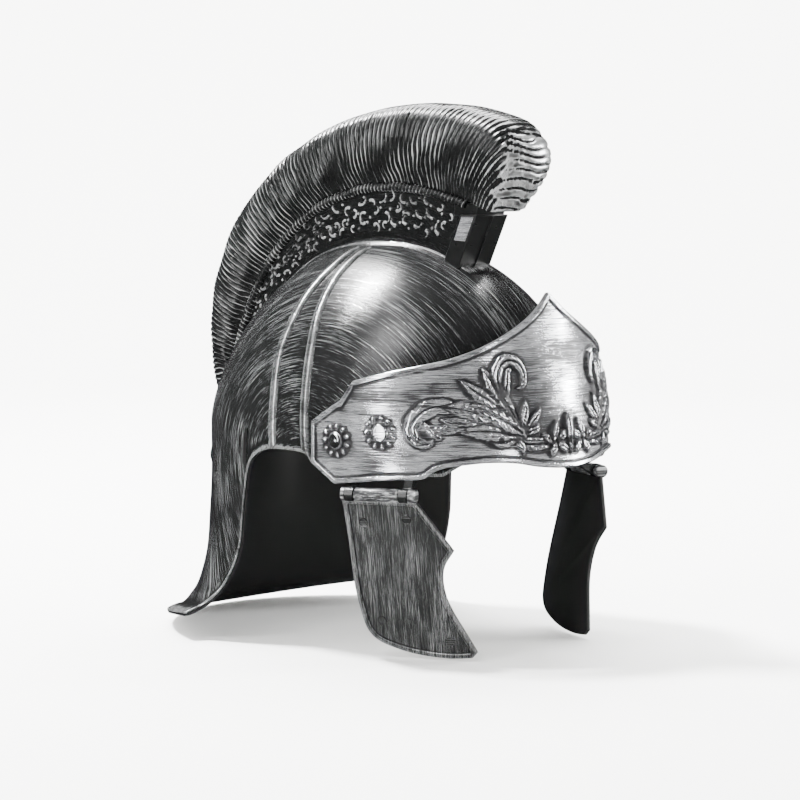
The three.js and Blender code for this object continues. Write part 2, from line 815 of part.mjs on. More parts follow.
function makeHolder() {
  const top = [];
  const bottom = [];
  const steps = 22;
  for (let i = 0; i <= steps; i += 1) {
    const turn = holderFrontTurn + ((holderRearTurn - holderFrontTurn) * i) / steps;
    const upper = crestPoint(turn, crestBase(turn) - clearance, 0);
    const lower = crestPoint(turn, skullRadius(turn) - plateRoot, 0);
    top.push(new THREE.Vector2(upper.y, upper.z));
    bottom.push(new THREE.Vector2(lower.y, lower.z));
  }
  const plate = plateFromSide([...top, ...bottom.reverse()], holderHalfWidth);
  const block = plateFromSide(blockTable.map((row) => {
    const corner = crestPoint(row.turn, skullRadius(row.turn) + holderHeight * row.level, 0);
    return new THREE.Vector2(corner.y, corner.z);
  }), blockHalfWidth);
  const back = skullHalfLength + saddleHeight;
  const tailTop = equator - 10 * clearance;
  const tail = plateFromSide(tailTable.map((row) => (
    new THREE.Vector2(back + row.out * tailLength, tailTop - row.down * tailDrop)
  )), tailHalfWidth);
  const near = [ropeSolid(), ...scrolls.map(scrollSolid)];
  const whole = fuse([plate, block, tail, ...near, ...near.map(mirrored)]);
  return whole.subtract(skullBlank(clearance)).subtract(saddleSolid(clearance));
}

// Visor: a leaning oval sheet with a raised rim, rosettes and acanthus leaves

// Half of the visor's outline. Angles run from the middle of the face to the ear in degrees, top
// and foot are shares of the visor's height over its base line.
const visorTable = [
  { angle: 0, top: 1, foot: 0.037 },
  { angle: 7, top: 0.908, foot: 0.043 },
  { angle: 15, top: 0.832, foot: 0.058 },
  { angle: 23, top: 0.768, foot: 0.082 },
  { angle: 32, top: 0.706, foot: 0.09 },
  { angle: 41, top: 0.657, foot: 0.078 },
  { angle: 46, top: 0.637, foot: 0.064 },
  { angle: 49, top: 0.627, foot: 0.045 },
  { angle: 52.7, top: 0.613, foot: 0.004 },
  { angle: 61, top: 0.583, foot: -0.006 },
  { angle: 72.6, top: 0.529, foot: -0.028 },
  { angle: 77.5, top: 0.416, foot: -0.038 },
  { angle: 80.4, top: 0.388, foot: -0.045 },
  { angle: 88.8, top: 0.294, foot: 0.061 },
];
const visorAngles = [0, 7, 15, 23, 32, 41, 46, 49, 52.7, 61, 67, 72.6, 77.5, 80.4, 86.6, 87.1, 88.8];
const visorRimAngle = 87;
const visorZero = visorBase - 2;

function visorHeightAt(angle, column) {
  return visorZero + visorHeight * readTable(visorTable, 'angle', Math.abs(angle), column);
}

function visorWallPoint(angle, z) {
  const sine = Math.sin(angle * DEGREES);
  const cosine = Math.cos(angle * DEGREES);
  const swell = (Math.abs(sine) ** visorBulge + Math.abs(cosine) ** visorBulge) ** (-1 / visorBulge);
  const length = visorLength - visorLean * (z - visorBase);
  return new THREE.Vector3(-visorHalfWidth * sine * swell, -visorSetback - length * cosine * swell, z);
}

function visorNormal(angle, z) {
  const small = 0.3;
  const along = visorWallPoint(angle + small, z).sub(visorWallPoint(angle - small, z));
  const up = visorWallPoint(angle, z + small).sub(visorWallPoint(angle, z - small));
  return up.cross(along).normalize();
}

function visorPoint(angle, z, lift) {
  return visorWallPoint(angle, z).addScaledVector(visorNormal(angle, z), lift);
}

function visorSheet() {
  const angles = [...visorAngles.slice(1).reverse().map((a) => -a), ...visorAngles];
  const front = [];
  const back = [];
  for (const angle of angles) {
    const top = visorHeightAt(angle, 'top');
    const foot = visorHeightAt(angle, 'foot');
    const inner = top - foot - 2 * (visorRimWidth + visorRimSlope);
    const onRim = Math.abs(angle) > visorRimAngle;
    const levels = [
      { z: foot, lift: visorRimHeight },
      { z: foot + visorRimWidth, lift: visorRimHeight },
      { z: foot + visorRimWidth + visorRimSlope, lift: 0 },
      { z: foot + visorRimWidth + visorRimSlope + inner / 2, lift: 0 },
      { z: top - visorRimWidth - visorRimSlope, lift: 0 },
      { z: top - visorRimWidth, lift: visorRimHeight },
      { z: top, lift: visorRimHeight },
    ];
    front.push(levels.map((l) => visorPoint(angle, l.z, onRim ? visorRimHeight : l.lift)));
    back.push(levels.map((l) => visorPoint(angle, l.z, -visorWall)));
  }
  return sheet(front, back);
}

// Acanthus leaves of the near half, each a stroke with its half width in shares of the leaf width.
// Angles are in degrees from the middle, up is in shares of the visor's height over its base.
const leafHalfWidth = 5;
const leaves = [
  { half: 1.1, stroke: [{ angle: 21, up: 0.25 }, { angle: 29.5, up: 0.37 }, { angle: 38.6, up: 0.535 }] },
  { half: 0.95, stroke: [{ angle: 23, up: 0.3 }, { angle: 28.5, up: 0.44 }, { angle: 31, up: 0.6 }] },
  { half: 1, stroke: [{ angle: 22, up: 0.25 }, { angle: 31, up: 0.29 }, { angle: 40.3, up: 0.26 }] },
  { half: 0.75, stroke: [{ angle: 21, up: 0.24 }, { angle: 26, up: 0.215 }, { angle: 31, up: 0.205 }] },
  {
    half: 0.6,
    stroke: [
      { angle: 27, up: 0.4 }, { angle: 27.5, up: 0.56 }, { angle: 23, up: 0.63 },
      { angle: 18, up: 0.57 }, { angle: 19, up: 0.5 }, { angle: 21.5, up: 0.52 },
    ],
  },
  {
    half: 0.75,
    stroke: [
      { angle: 30, up: 0.34 }, { angle: 39, up: 0.42 }, { angle: 47, up: 0.41 },
      { angle: 53.5, up: 0.31 }, { angle: 51, up: 0.21 }, { angle: 46.5, up: 0.24 },
    ],
  },
  { half: 0.5, stroke: [{ angle: 19.5, up: 0.26 }, { angle: 18.6, up: 0.34 }, { angle: 17.7, up: 0.42 }] },
  { half: 0.5, stroke: [{ angle: 17, up: 0.24 }, { angle: 14, up: 0.32 }, { angle: 11.5, up: 0.37 }] },
  { half: 0.45, stroke: [{ angle: 24, up: 0.2 }, { angle: 21, up: 0.18 }, { angle: 20.5, up: 0.13 }] },
  { half: 0.4, stroke: [{ angle: 23, up: 0.225 }, { angle: 15, up: 0.21 }, { angle: 7, up: 0.19 }] },
  { half: 0.6, stroke: [{ angle: 1, up: 0.2 }, { angle: 4, up: 0.235 }, { angle: 7, up: 0.25 }] },
  { half: 0.55, stroke: [{ angle: 1, up: 0.19 }, { angle: 5, up: 0.17 }, { angle: 9, up: 0.15 }] },
];
const middleLeaf = {
  half: 0.8,
  stroke: [{ angle: 0, up: 0.17 }, { angle: 0, up: 0.25 }, { angle: 0, up: 0.33 }],
};
const leafSection = [
  { across: -1, up: -0.35 },
  { across: -0.35, up: 1 },
  { across: 0.35, up: 0.8 },
  { across: 1, up: -0.35 },
];

function leafSolid(leaf) {
  const line = leaf.stroke.map((p) => new THREE.Vector3(p.angle, visorZero + visorHeight * p.up, 0));
  const curve = new THREE.CatmullRomCurve3(line);
  const steps = Math.max(3, Math.round(1.1 * (line.length - 1)));
  const sections = [];
  for (let i = 0; i <= steps; i += 1) {
    const share = i / steps;
    const here = curve.getPoint(share);
    const ahead = curve.getPoint(Math.min(1, share + 0.02)).sub(curve.getPoint(Math.max(0, share - 0.02)));
    const fullness = 0.25 + 0.75 * Math.sin(Math.PI * Math.min(0.95, 0.2 + 0.8 * share));
    const half = leafHalfWidth * leaf.half * fullness;
    const perDegree = visorLength * DEGREES;
    const run = new THREE.Vector2(ahead.x * perDegree, ahead.y).normalize();
    const place = (across, lift) => (
      visorPoint(here.x - (across * run.y) / perDegree, here.y + across * run.x, lift)
    );
    const ring = leafSection.map((p) => place(p.across * half, p.up * reliefHeight));
    sections.push([...ring, place(0, -visorWall / 2)]);
  }
  return loft(sections);
}

// Rosettes: scalloped discs with a raised middle
const frontRosette = { angle: 64.5, up: 0.25 };
const pivotAngle = 79.3;
const rosetteLobes = 9;
const discShare = 0.49;

function rosetteSolid(angle, z) {
  const normal = visorNormal(angle, z);
  const across = new THREE.Vector3(0, 0, 1).cross(normal).normalize();
  const up = normal.clone().cross(across).normalize();
  const centre = visorWallPoint(angle, z);
  const ring = (radius, lift, notch) => {
    const points = [];
    for (let k = 0; k < 2 * rosetteLobes; k += 1) {
      const turn = (k / (2 * rosetteLobes)) * 2 * Math.PI;
      const reach = radius * (k % 2 === 0 ? 1 : notch);
      const point = centre.clone().addScaledVector(across, reach * Math.cos(turn));
      points.push(point.addScaledVector(up, reach * Math.sin(turn)).addScaledVector(normal, lift));
    }
    return points;
  };
  return loft([
    ring(rosetteRadius, -visorWall / 2, 0.86),
    ring(rosetteRadius, rosetteHeight * 0.45, 0.86),
    ring(rosetteRadius * discShare, rosetteHeight * 0.3, 1),
    ring(rosetteRadius * discShare * 0.95, rosetteHeight, 1),
  ]);
}

const pivotDiscHeight = 2.8;
const pivotFace = pivotWallFace + pivotDiscHeight;

function makeVisor() {
  const discEnds = [pivotWallFace - visorWall / 2, pivotFace].map(pivotPoint);
  const disc = cylinderBetween(...discEnds, rosetteRadius * discShare);
  const near = [
    ...leaves.map(leafSolid),
    rosetteSolid(frontRosette.angle, visorZero + visorHeight * frontRosette.up),
    rosetteSolid(pivotAngle, pivotHeight),
    disc,
  ];
  const hole = cylinderBetween(
    pivotPoint(pivotWallFace - 3 * visorWall),
    pivotPoint(pivotFace + visorWall),
    pivotPinRadius + clearance,
  );
  return fuse([visorSheet(), leafSolid(middleLeaf), ...near, ...near.map(mirrored)])
    .subtract(hole)
    .subtract(mirrored(hole));
}

function makeRivet() {
  const headFace = pivotFace + clearance;
  const tail = skullReach(-pivotSetback, pivotHeight) - skullWall;
  const pin = cylinderBetween(pivotPoint(tail), pivotPoint(headFace + pivotHeadHeight / 3), pivotPinRadius);
  const headTop = headFace + pivotHeadHeight;
  const ahead = new THREE.Vector3(-1, 0, 0);
  const outward = new THREE.Vector3(0, 0, 1);
  const head = loft([
    ringAround(pivotPoint(headFace), ahead, outward, pivotHeadRadius, 12),
    ringAround(pivotPoint(headFace + 0.45 * pivotHeadHeight), ahead, outward, pivotHeadRadius, 12),
    ringAround(pivotPoint(headTop), ahead, outward, pivotHeadRadius * 0.6, 12),
  ]);
  return pin.add(head);
}

// Cheek guards, drawn flat: along runs forwards from the hinge's middle in shares of the guard's
// width, down runs from the hinge in shares of its length
const guardOutline = [
  { along: -0.5, down: 0.025 },
  { along: 0.48, down: 0.025 },
  { along: 0.94, down: 0.33 },
  { along: 0.8, down: 0.43 },
  { along: 0.765, down: 0.52 },
  { along: 0.79, down: 0.62 },
  { along: 0.86, down: 0.71 },
  { along: 0.96, down: 0.8 },
  { along: 1.15, down: 0.965 },
  { along: 1.08, down: 1 },
  { along: 0.83, down: 1.01 },
  { along: 0.57, down: 1.006 },
  { along: 0.3, down: 0.99 },
  { along: 0.06, down: 0.962 },
  { along: -0.14, down: 0.925 },
  { along: -0.27, down: 0.875 },
  { along: -0.35, down: 0.79 },
  { along: -0.43, down: 0.573 },
  { along: -0.46, down: 0.27 },
];
const guardMarks = [
  { along: -0.24, down: 0.172 },
  { along: 0.34, down: 0.142 },
  { along: -0.11, down: 0.79 },
  { along: 0.8, down: 0.9 },
];
const markRadius = 2.6;
const markHeight = 0.6;

// How far raised work is sunk into the plate that carries it
const guardSink = 0.4;

// The same closed outline, drawn in by a distance
function insetOutline(points, distance) {
  const count = points.length;
  return points.map((point, i) => {
    const before = points[(i + count - 1) % count];
    const after = points[(i + 1) % count];
    const arrive = point.clone().sub(before).normalize();
    const leave = after.clone().sub(point).normalize();
    const side = new THREE.Vector2(-(arrive.y + leave.y), arrive.x + leave.x).normalize();
    const square = new THREE.Vector2(-arrive.y, arrive.x);
    return point.clone().addScaledVector(side, distance / Math.max(0.5, side.dot(square)));
  });
}

// Stands flat work up in the guard's plane: x forwards along the hinge, y down, z inwards
function hangFromHinge(geometry) {
  const down = hingeInward.clone().multiplyScalar(Math.sin(tilt)).setZ(-Math.cos(tilt));
  const inwards = hingeAhead.clone().cross(down).normalize();
  const place = new THREE.Matrix4().makeBasis(hingeAhead, down, inwards).setPosition(hingeCentre);
  return toSolid(geometry.applyMatrix4(place));
}

function slab(outline, low, high, hole) {
  const shape = new THREE.Shape(outline);
  if (hole) {
    shape.holes.push(new THREE.Path(hole));
  }
  const geometry = new THREE.ExtrudeGeometry(shape, { depth: high - low, bevelEnabled: false });
  geometry.translate(0, 0, low);
  return hangFromHinge(geometry);
}

function makeGuard() {
  const outline = guardOutline.map((p) => new THREE.Vector2(p.along * guardWidth, p.down * guardLength));
  const half = guardWall / 2;
  const plate = slab(outline, -half, half);
  const rim = slab(outline, -half - guardRimHeight, guardSink - half, insetOutline(outline, guardRimWidth));
  const marks = guardMarks.map((p) => {
    const mark = new THREE.CylinderGeometry(markRadius * 0.8, markRadius, 2 * markHeight, 6);
    mark.rotateX(-Math.PI / 2);
    mark.translate(p.along * guardWidth, p.down * guardLength, -half);
    return hangFromHinge(mark);
  });
  const end = guardWidth / 2;
  const pin = cylinderBetween(hingePoint(-end, 0, 0), hingePoint(end, 0, 0), hingePinRadius);
  const barrel = cylinderBetween(hingePoint(-end, 0, 0), hingePoint(end, 0, 0), hingeBarrelRadius);
  const room = hingeClipWidth / 2 + clearance * 1.5;
  const notches = hingeClipPlaces.map((share) => cylinderBetween(
    hingePoint(share * guardWidth - room, 0, 0),
    hingePoint(share * guardWidth + room, 0, 0),
    hingeRingRadius + 3 * clearance,
  ));
  const body = notches.reduce((whole, notch) => whole.subtract(notch), fuse([plate, rim, barrel, ...marks]));
  return body.add(pin);
}

// Assembly

function part(name, solid, material) {
  const mesh = new THREE.Mesh(toGeometry(solid), material);
  mesh.name = name;
  return mesh;
}

const rivet = makeRivet();
const guard = makeGuard();

const helmet = new THREE.Group();
helmet.name = 'roman_helmet';
helmet.add(part('skull', makeSkull(), brushedDome));
helmet.add(part('crest_holder', makeHolder(), glossyCrest));
helmet.add(part('plume', makeCrest(), glossyCrest));
helmet.add(part('visor', makeVisor(), brushedVisor));
helmet.add(part('pivot_rivet_right', rivet, rivetMetal));
helmet.add(part('pivot_rivet_left', mirrored(rivet), rivetMetal));
helmet.add(part('cheek_guard_right', guard, brushedDome));
helmet.add(part('cheek_guard_left', mirrored(guard), brushedDome));

export default helmet;
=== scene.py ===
# %% [markdown]
# # A Roman costume helmet
# The real thing is a set of thin black mouldings that were brushed with silver paint: a skull with
# a swept neck guard, a ridged crest on a scrolled holder, a visor that lifts on two rivets, and two
# cheek guards on hinges. The solids give the sizes, and each is replaced here by a finer skin that
# is computed from the same tables, so that every edge stays where the solid has it.

# %% Load the frame
import json
import math
import bpy
import numpy as np
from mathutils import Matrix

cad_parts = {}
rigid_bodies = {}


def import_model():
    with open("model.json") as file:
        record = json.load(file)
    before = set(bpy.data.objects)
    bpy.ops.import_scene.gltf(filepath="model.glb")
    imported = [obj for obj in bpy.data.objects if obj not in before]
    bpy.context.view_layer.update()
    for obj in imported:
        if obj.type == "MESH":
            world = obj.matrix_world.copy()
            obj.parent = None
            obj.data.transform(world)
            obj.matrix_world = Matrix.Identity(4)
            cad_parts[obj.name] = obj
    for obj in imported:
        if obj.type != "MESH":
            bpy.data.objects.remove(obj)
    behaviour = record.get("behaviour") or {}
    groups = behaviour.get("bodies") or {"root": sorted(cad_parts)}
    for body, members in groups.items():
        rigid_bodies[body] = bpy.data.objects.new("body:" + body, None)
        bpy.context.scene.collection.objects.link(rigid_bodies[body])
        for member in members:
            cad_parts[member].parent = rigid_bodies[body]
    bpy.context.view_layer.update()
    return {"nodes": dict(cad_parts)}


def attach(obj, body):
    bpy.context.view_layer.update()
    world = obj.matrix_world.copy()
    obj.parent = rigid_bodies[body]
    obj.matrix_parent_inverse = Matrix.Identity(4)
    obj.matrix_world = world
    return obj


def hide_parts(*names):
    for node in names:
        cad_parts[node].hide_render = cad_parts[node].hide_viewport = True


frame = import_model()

# %% [markdown]
# ## Tables and curves
# The outlines are short tables read off the object. A smooth reading of a table gives a fine curve
# through its rows, and a row that is marked as a corner keeps its sharp turn.

# %% Read a table smoothly
def curve_through(places, values, at, corners=()):
    """Cubic through the rows of a table, with a sharp turn at the rows in corners."""
    places, values, at = (np.asarray(a, float) for a in (places, values, at))
    secant = np.diff(values) / np.diff(places)
    left, right = np.empty(len(places)), np.empty(len(places))
    middle = (values[2:] - values[:-2]) / (places[2:] - places[:-2])
    left[1:-1], right[1:-1] = middle, middle
    left[0] = right[0] = secant[0]
    left[-1] = right[-1] = secant[-1]
    for row in corners:
        if row > 0:
            left[row] = secant[row - 1]
        if row < len(secant):
            right[row] = secant[row]
    i = np.clip(np.searchsorted(places, at) - 1, 0, len(places) - 2)
    step = places[i + 1] - places[i]
    t = np.clip((at - places[i]) / step, 0, 1)
    return ((2 * t**3 - 3 * t**2 + 1) * values[i] + (t**3 - 2 * t**2 + t) * right[i] * step
            + (3 * t**2 - 2 * t**3) * values[i + 1] + (t**3 - t**2) * left[i + 1] * step)


def ramp(low, high, value):
    """0 below low, 1 above high, and a smooth rise between."""
    t = np.clip((value - low) / (high - low), 0, 1)
    return t * t * (3 - 2 * t)


def blur(grid, passes, axes=(0, 1)):
    """Soften a grid of heights, for finding what stands proud and what lies deep."""
    for _ in range(passes):
        for axis in axes:
            ahead = np.concatenate([grid.take([0], axis), grid, grid.take([-1], axis)], axis)
            n = grid.shape[axis]
            grid = (ahead.take(range(0, n), axis) + 2 * ahead.take(range(1, n + 1), axis)
                    + ahead.take(range(2, n + 2), axis)) / 4
    return grid

print("tables read as curves")

# %% [markdown]
# ## Meshes from grids
# Every large skin here is a grid of points with a height added along its normal. One helper turns
# such grids into a mesh and keeps three facts on each point for the paint: where it lies along and
# across the brush strokes, and how far it stands proud of what is round it. On the visor and the
# crest holder that last value also carries painted shade in the hollows round the raised work.

# %% Grid to mesh
MM = 0.001
both_sides = (("right", -1), ("left", 1))


def grid_faces(rows, columns, start=0, wrap=False, flip=False):
    last = columns if wrap else columns - 1
    i, j = np.meshgrid(np.arange(rows - 1), np.arange(last), indexing="ij")
    a = start + i * columns + j
    b = start + i * columns + (j + 1) % columns
    quads = np.stack([a, b, b + columns, a + columns], -1).reshape(-1, 4)
    return quads[:, ::-1] if flip else quads


def make_piece(name, points, faces, body, nodes=(), strokes=None, wear=None, sharp=40):
    """A mesh in metres that rides on a body and stands for the solids it replaces."""
    mesh = bpy.data.meshes.new(name)
    mesh.from_pydata((np.asarray(points) * MM).tolist(), [], [list(map(int, f)) for f in faces])
    mesh.validate(clean_customdata=False)
    if strokes is not None:
        data = mesh.attributes.new("strokes", "FLOAT_VECTOR", "POINT")
        flat = np.zeros((len(points), 3))
        flat[:, :2] = strokes
        data.data.foreach_set("vector", flat.ravel())
    if wear is not None:
        data = mesh.attributes.new("wear", "FLOAT", "POINT")
        data.data.foreach_set("value", np.asarray(wear, float).ravel())
    mesh.update()
    mesh.shade_smooth()
    mesh.set_sharp_from_angle(angle=math.radians(sharp))
    piece = bpy.data.objects.new(name, mesh)
    bpy.context.scene.collection.objects.link(piece)
    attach(piece, body)
    if nodes:
        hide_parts(*nodes)
    print(name, len(mesh.polygons), "faces")
    return piece


def normals_of(grid, wrap=False):
    """Unit normals of a grid of points, one for each point."""
    if wrap:
        across = np.roll(grid, -1, 1) - np.roll(grid, 1, 1)
    else:
        across = np.gradient(grid, axis=1)
    along = np.gradient(grid, axis=0)
    normal = np.cross(along, across)
    return normal / np.maximum(np.linalg.norm(normal, axis=-1, keepdims=True), 1e-9)

# %% [markdown]
# ## The skull's form
# The dome is an oval whose upright section is rounder over the face than over the nape. Under the
# widest line the wall drops straight and then sweeps out into the neck guard.

# %% Skull sizes and surface
wall = 2.2
half_width, half_length, rise = 100.0, 129.0, 116.0
equator = wall - rise
neck_depth, neck_rear_drop, neck_flare = 111.0, 17.0, 29.0
neck_bottom = equator - neck_depth
brow = equator - 8.0
flare_down = [0, 0.27, 0.49, 0.67, 0.83, 0.9, 0.96, 1]
flare_out = [0, 0, 0.05, 0.11, 0.28, 0.43, 0.64, 1]


def neck_edge(forward):
    return neck_bottom - neck_rear_drop * np.maximum(0, -forward) ** 2


def skull_point(angle, level):
    """Outside of the skull. The angle runs round from the face, level is 1 at the crown, 0 at the
    widest line and -1 at the neck guard's edge."""
    forward = np.cos(angle)
    fullness = 1.75 + 0.25 * forward
    shrink = np.sqrt(np.maximum(0, 1 - np.clip(level, 0, 1) ** fullness))
    out = neck_flare * curve_through(flare_down, flare_out, np.clip(-level, 0, 1))
    height = np.where(level >= 0, equator + rise * level, equator + (equator - neck_edge(forward)) * level)
    return np.stack([-(half_width * shrink + out) * np.sin(angle),
                     -(half_length * shrink + out) * forward, height], -1)


def place_in_side_view(y, z):
    """Angle and level of the skull's outside at a place of the side view, under the widest line."""
    forward = np.clip(-y / half_length, -1, 1)
    for _ in range(30):
        level = (z - equator) / (equator - neck_edge(forward))
        out = neck_flare * curve_through(flare_down, flare_out, np.clip(-level, 0, 1))
        forward = np.clip(-y / (half_length + out), -1, 1)
    return np.arccos(forward), level

print("neck guard ends at", round(neck_bottom - neck_rear_drop, 1), "mm")

# %% [markdown]
# The skull's lower edge runs from the brow over the ear arch and down to the neck guard's corner,
# then round the back. Columns of the grid start on that edge and run up to the crown, so the edge
# is always a clean line of points and never a sawn one.

# %% Lower edge of the skull
arch_y = [0, 0.06, 0.18, 0.5, 0.72, 0.9, 0.98, 1.02, 1.04, 1.06, 1.12, 1.23, 1.36, 1.52]
arch_z = [0.14, 0.1, 0.083, 0.08, 0.1, 0.16, 0.25, 0.37, 0.5, 0.62, 0.74, 0.86, 0.94, 1.0]


def walk(points, step):
    """Places at even steps along a line of points."""
    points = np.asarray(points, float)
    length = np.concatenate([[0], np.cumsum(np.linalg.norm(np.diff(points, axis=0), axis=1))])
    even = np.linspace(0, length[-1], max(2, int(round(length[-1] / step)) + 1))
    return np.stack([np.interp(even, length, points[:, k]) for k in range(points.shape[1])], -1)


share = np.linspace(0, len(arch_y) - 1, 400)
rows = np.arange(len(arch_y))
arch = np.stack([-22 + 58 * curve_through(rows, arch_y, share),
                 equator - neck_depth * curve_through(rows, arch_z, share)], -1)
front = np.array([[-half_length + 0.001, brow], [-113, brow], [-97, brow - 13], [-38, brow - 13],
                  [-22, arch[0, 1]]])
side_angle, side_level = place_in_side_view(*np.concatenate([walk(front, 1.5)[:-1], arch]).T)
side_angle[0] = 0
rear_angle = np.linspace(side_angle[-1], math.pi, 200)[1:]
edge_angle = np.concatenate([side_angle, rear_angle])
edge_level = np.concatenate([np.maximum(side_level, -1), -np.ones(len(rear_angle))])
edge_angle = np.maximum.accumulate(edge_angle)
edge_xyz = skull_point(edge_angle, edge_level)
edge = walk(np.column_stack([edge_xyz, edge_angle, edge_level]), 1.62)
edge_angle, edge_level = edge[:, 3], edge[:, 4]
print("lower edge has", len(edge_angle), "places on one side")

# %% Grid of the skull, from the edge up to the crown
dome_run = 178
flare_longer = 1.07


def length_from_level(level, forward):
    """Length over the surface from the widest line, less than 0 under it."""
    deep = (equator - neck_edge(forward)) * flare_longer
    return np.where(level < 0, level * deep, np.arcsin(np.clip(level, 0, 1)) / (math.pi / 2) * dome_run)


def level_from_length(length, forward):
    deep = (equator - neck_edge(forward)) * flare_longer
    return np.where(length < 0, length / deep, np.sin(np.clip(length / dome_run, 0, 1) * math.pi / 2))


near_edge = np.concatenate([[0, 0.25, 0.55, 0.9, 1.4, 2, 2.6, 3.2, 3.8, 4.4, 5.2, 6.4],
                            np.arange(8, 20, 1.5)])
rows_above = 104
even_angle = np.linspace(0, math.pi, len(edge_angle))
start = length_from_level(edge_level, np.cos(edge_angle))
columns = []
for a0, a1, m0 in zip(edge_angle, even_angle, start):
    total = dome_run - m0
    reach = np.concatenate([near_edge, np.linspace(near_edge[-1], total, rows_above + 1)[1:]])
    turn = ramp(0.0, 1.0, (reach - 14) / (total - 14))
    angle = a0 + (a1 - a0) * turn
    columns.append((angle, level_from_length(m0 + reach, np.cos(angle)), reach))
angle_grid = np.array([c[0] for c in columns]).T
level_grid = np.array([c[1] for c in columns]).T
reach_grid = np.array([c[2] for c in columns]).T
angle_grid = np.concatenate([angle_grid, 2 * math.pi - angle_grid[:, -2:0:-1]], 1)
level_grid = np.concatenate([level_grid, level_grid[:, -2:0:-1]], 1)
reach_grid = np.concatenate([reach_grid, reach_grid[:, -2:0:-1]], 1)
skull_grid = skull_point(angle_grid, np.minimum(level_grid, 0.99999))
skull_normal = normals_of(skull_grid, wrap=True)
if (skull_normal[40, 5] * (skull_grid[40, 5] - [0, 0, equator])).sum() < 0:
    skull_normal = -skull_normal
print("skull grid", skull_grid.shape)

# %% [markdown]
# A smooth raised saddle crosses the crown under the crest, and a rolled bead and a slightly raised
# band follow the free edge. They are heights added to the grid, with soft shoulders as in a moulding.

# %% Raised work on the skull
front_rib = ([-0.06, 0.18, 0.42, 0.64, 0.82, 0.93], [-0.135, -0.116, -0.084, -0.04, -0.02, -0.03])
rear_rib = ([-0.06, 0.18, 0.42, 0.62, 0.76, 0.86, 0.93], [0.07, 0.085, 0.118, 0.109, 0.088, 0.058, 0.045])
saddle_turn = [-36, -24, -12, 0, 12, 26, 42, 58, 72, 86, 103]
saddle_half = [0.6, 0.72, 0.95, 1.25, 1.35, 1.2, 1, 0.8, 0.72, 0.68, 0.66]

saddle_width = 21

x, y, z = (skull_grid[..., k] for k in range(3))
turn = np.degrees(np.arctan2(y, z - equator))
radius = np.hypot(y, z - equator)
saddle_reach = saddle_width * curve_through(saddle_turn, saddle_half, np.clip(turn, -36, 103))
saddle_share = np.abs(x) / np.maximum(radius, 1) * rise / saddle_reach
in_saddle = ramp(-37.5, -35.5, turn) * (1 - ramp(101, 103, turn))
saddle_height = 1.6 * (1 - ramp(0.9, 1.0, saddle_share)) * in_saddle
bead = 0.75 * (1 - ramp(2.4, 4.4, reach_grid)) + 0.4 * (1 - ramp(11, 15.5, reach_grid))
visible_edge = ramp(-60, -30, y) * ramp(0.0, 0.12, np.maximum(-level_grid, 0) + 0.12 * (y > 0))
rounding = np.where(reach_grid < 1.1, 1.1 - np.sqrt(np.maximum(0, 1.1**2 - (1.1 - reach_grid) ** 2)), 0)
height = saddle_height + bead * visible_edge - rounding
skull_out = skull_grid + skull_normal * height[..., None]
proud = height - blur(height, 5)
edge_paint = 0.7 * (1 - ramp(1.3, 2.8, reach_grid)) - 0.5 * np.exp(-((reach_grid - 5.5) / 1.5) ** 2)
print("saddle stands", round(float(saddle_height.max()), 2), "mm proud")

# %% [markdown]
# The inside is the same surface one wall thickness in. It needs far fewer points, since it is a
# plain curve, and it shares the edge's columns so that the rolled lip closes exactly.

# %% Skull mesh
inner_rows = np.concatenate([[0, 3, 6, 11], np.linspace(14, skull_grid.shape[0] - 1, 18).astype(int)])
skull_in = (skull_grid - skull_normal * wall)[inner_rows]
skull_in[0] = skull_grid[0] - skull_normal[0] * (wall * 0.75)
skull_in[1] = skull_grid[3] - skull_normal[3] * (wall * 0.97)
r, n = skull_grid.shape[:2]
around = np.arange(n)
beside = (around + 1) % n
dome_points = np.concatenate([skull_out.reshape(-1, 3), skull_in.reshape(-1, 3)])
dome_faces = np.concatenate([
    grid_faces(r, n, 0, wrap=True),
    grid_faces(len(inner_rows), n, r * n, wrap=True, flip=True),
    np.stack([around, beside, r * n + beside, r * n + around], -1)[:, ::-1],
])


def skull_strokes(p):
    """Brush strokes run round in arcs about a place near the ear: how far along, how far out."""
    rel = np.stack([np.abs(p[..., 0]) - 100, p[..., 1] + 12, p[..., 2] - equator + 18], -1)
    swirl = np.arctan2(-rel[..., 1] - 0.5 * rel[..., 0], rel[..., 2])
    rel[..., 0] *= 1 - 0.8 * ramp(70, 125, p[..., 1])
    return np.stack([swirl * 80, np.linalg.norm(rel, axis=-1)], -1)


strokes = np.concatenate([skull_strokes(skull_out).reshape(-1, 2), skull_strokes(skull_in).reshape(-1, 2)])
inside_wear = np.full(len(inner_rows) * n, -9.0)
make_piece("skull_shell", dome_points, dome_faces, "helmet", ["skull"],
           strokes, np.concatenate([(proud + edge_paint).ravel(), inside_wear]), sharp=60)

# %% [markdown]
# Two rounded ribs climb each side of the dome. A rib that crosses the grid at a slant would show
# steps, so each is its own band, swept along its line with a fine section and sunk into the shell.

# %% Ribs
def skull_reach(y, z):
    """How far the dome's outside lies from the middle plane at a place of the side view."""
    high = np.clip((z - equator) / rise, 0, 1)
    forward = np.clip(-y / half_length, -1, 1)
    shrink = np.sqrt(np.maximum(1e-6, 1 - high ** (1.75 + 0.25 * forward)))
    return half_width * shrink * np.sqrt(np.maximum(0, 1 - (y / (half_length * shrink)) ** 2))


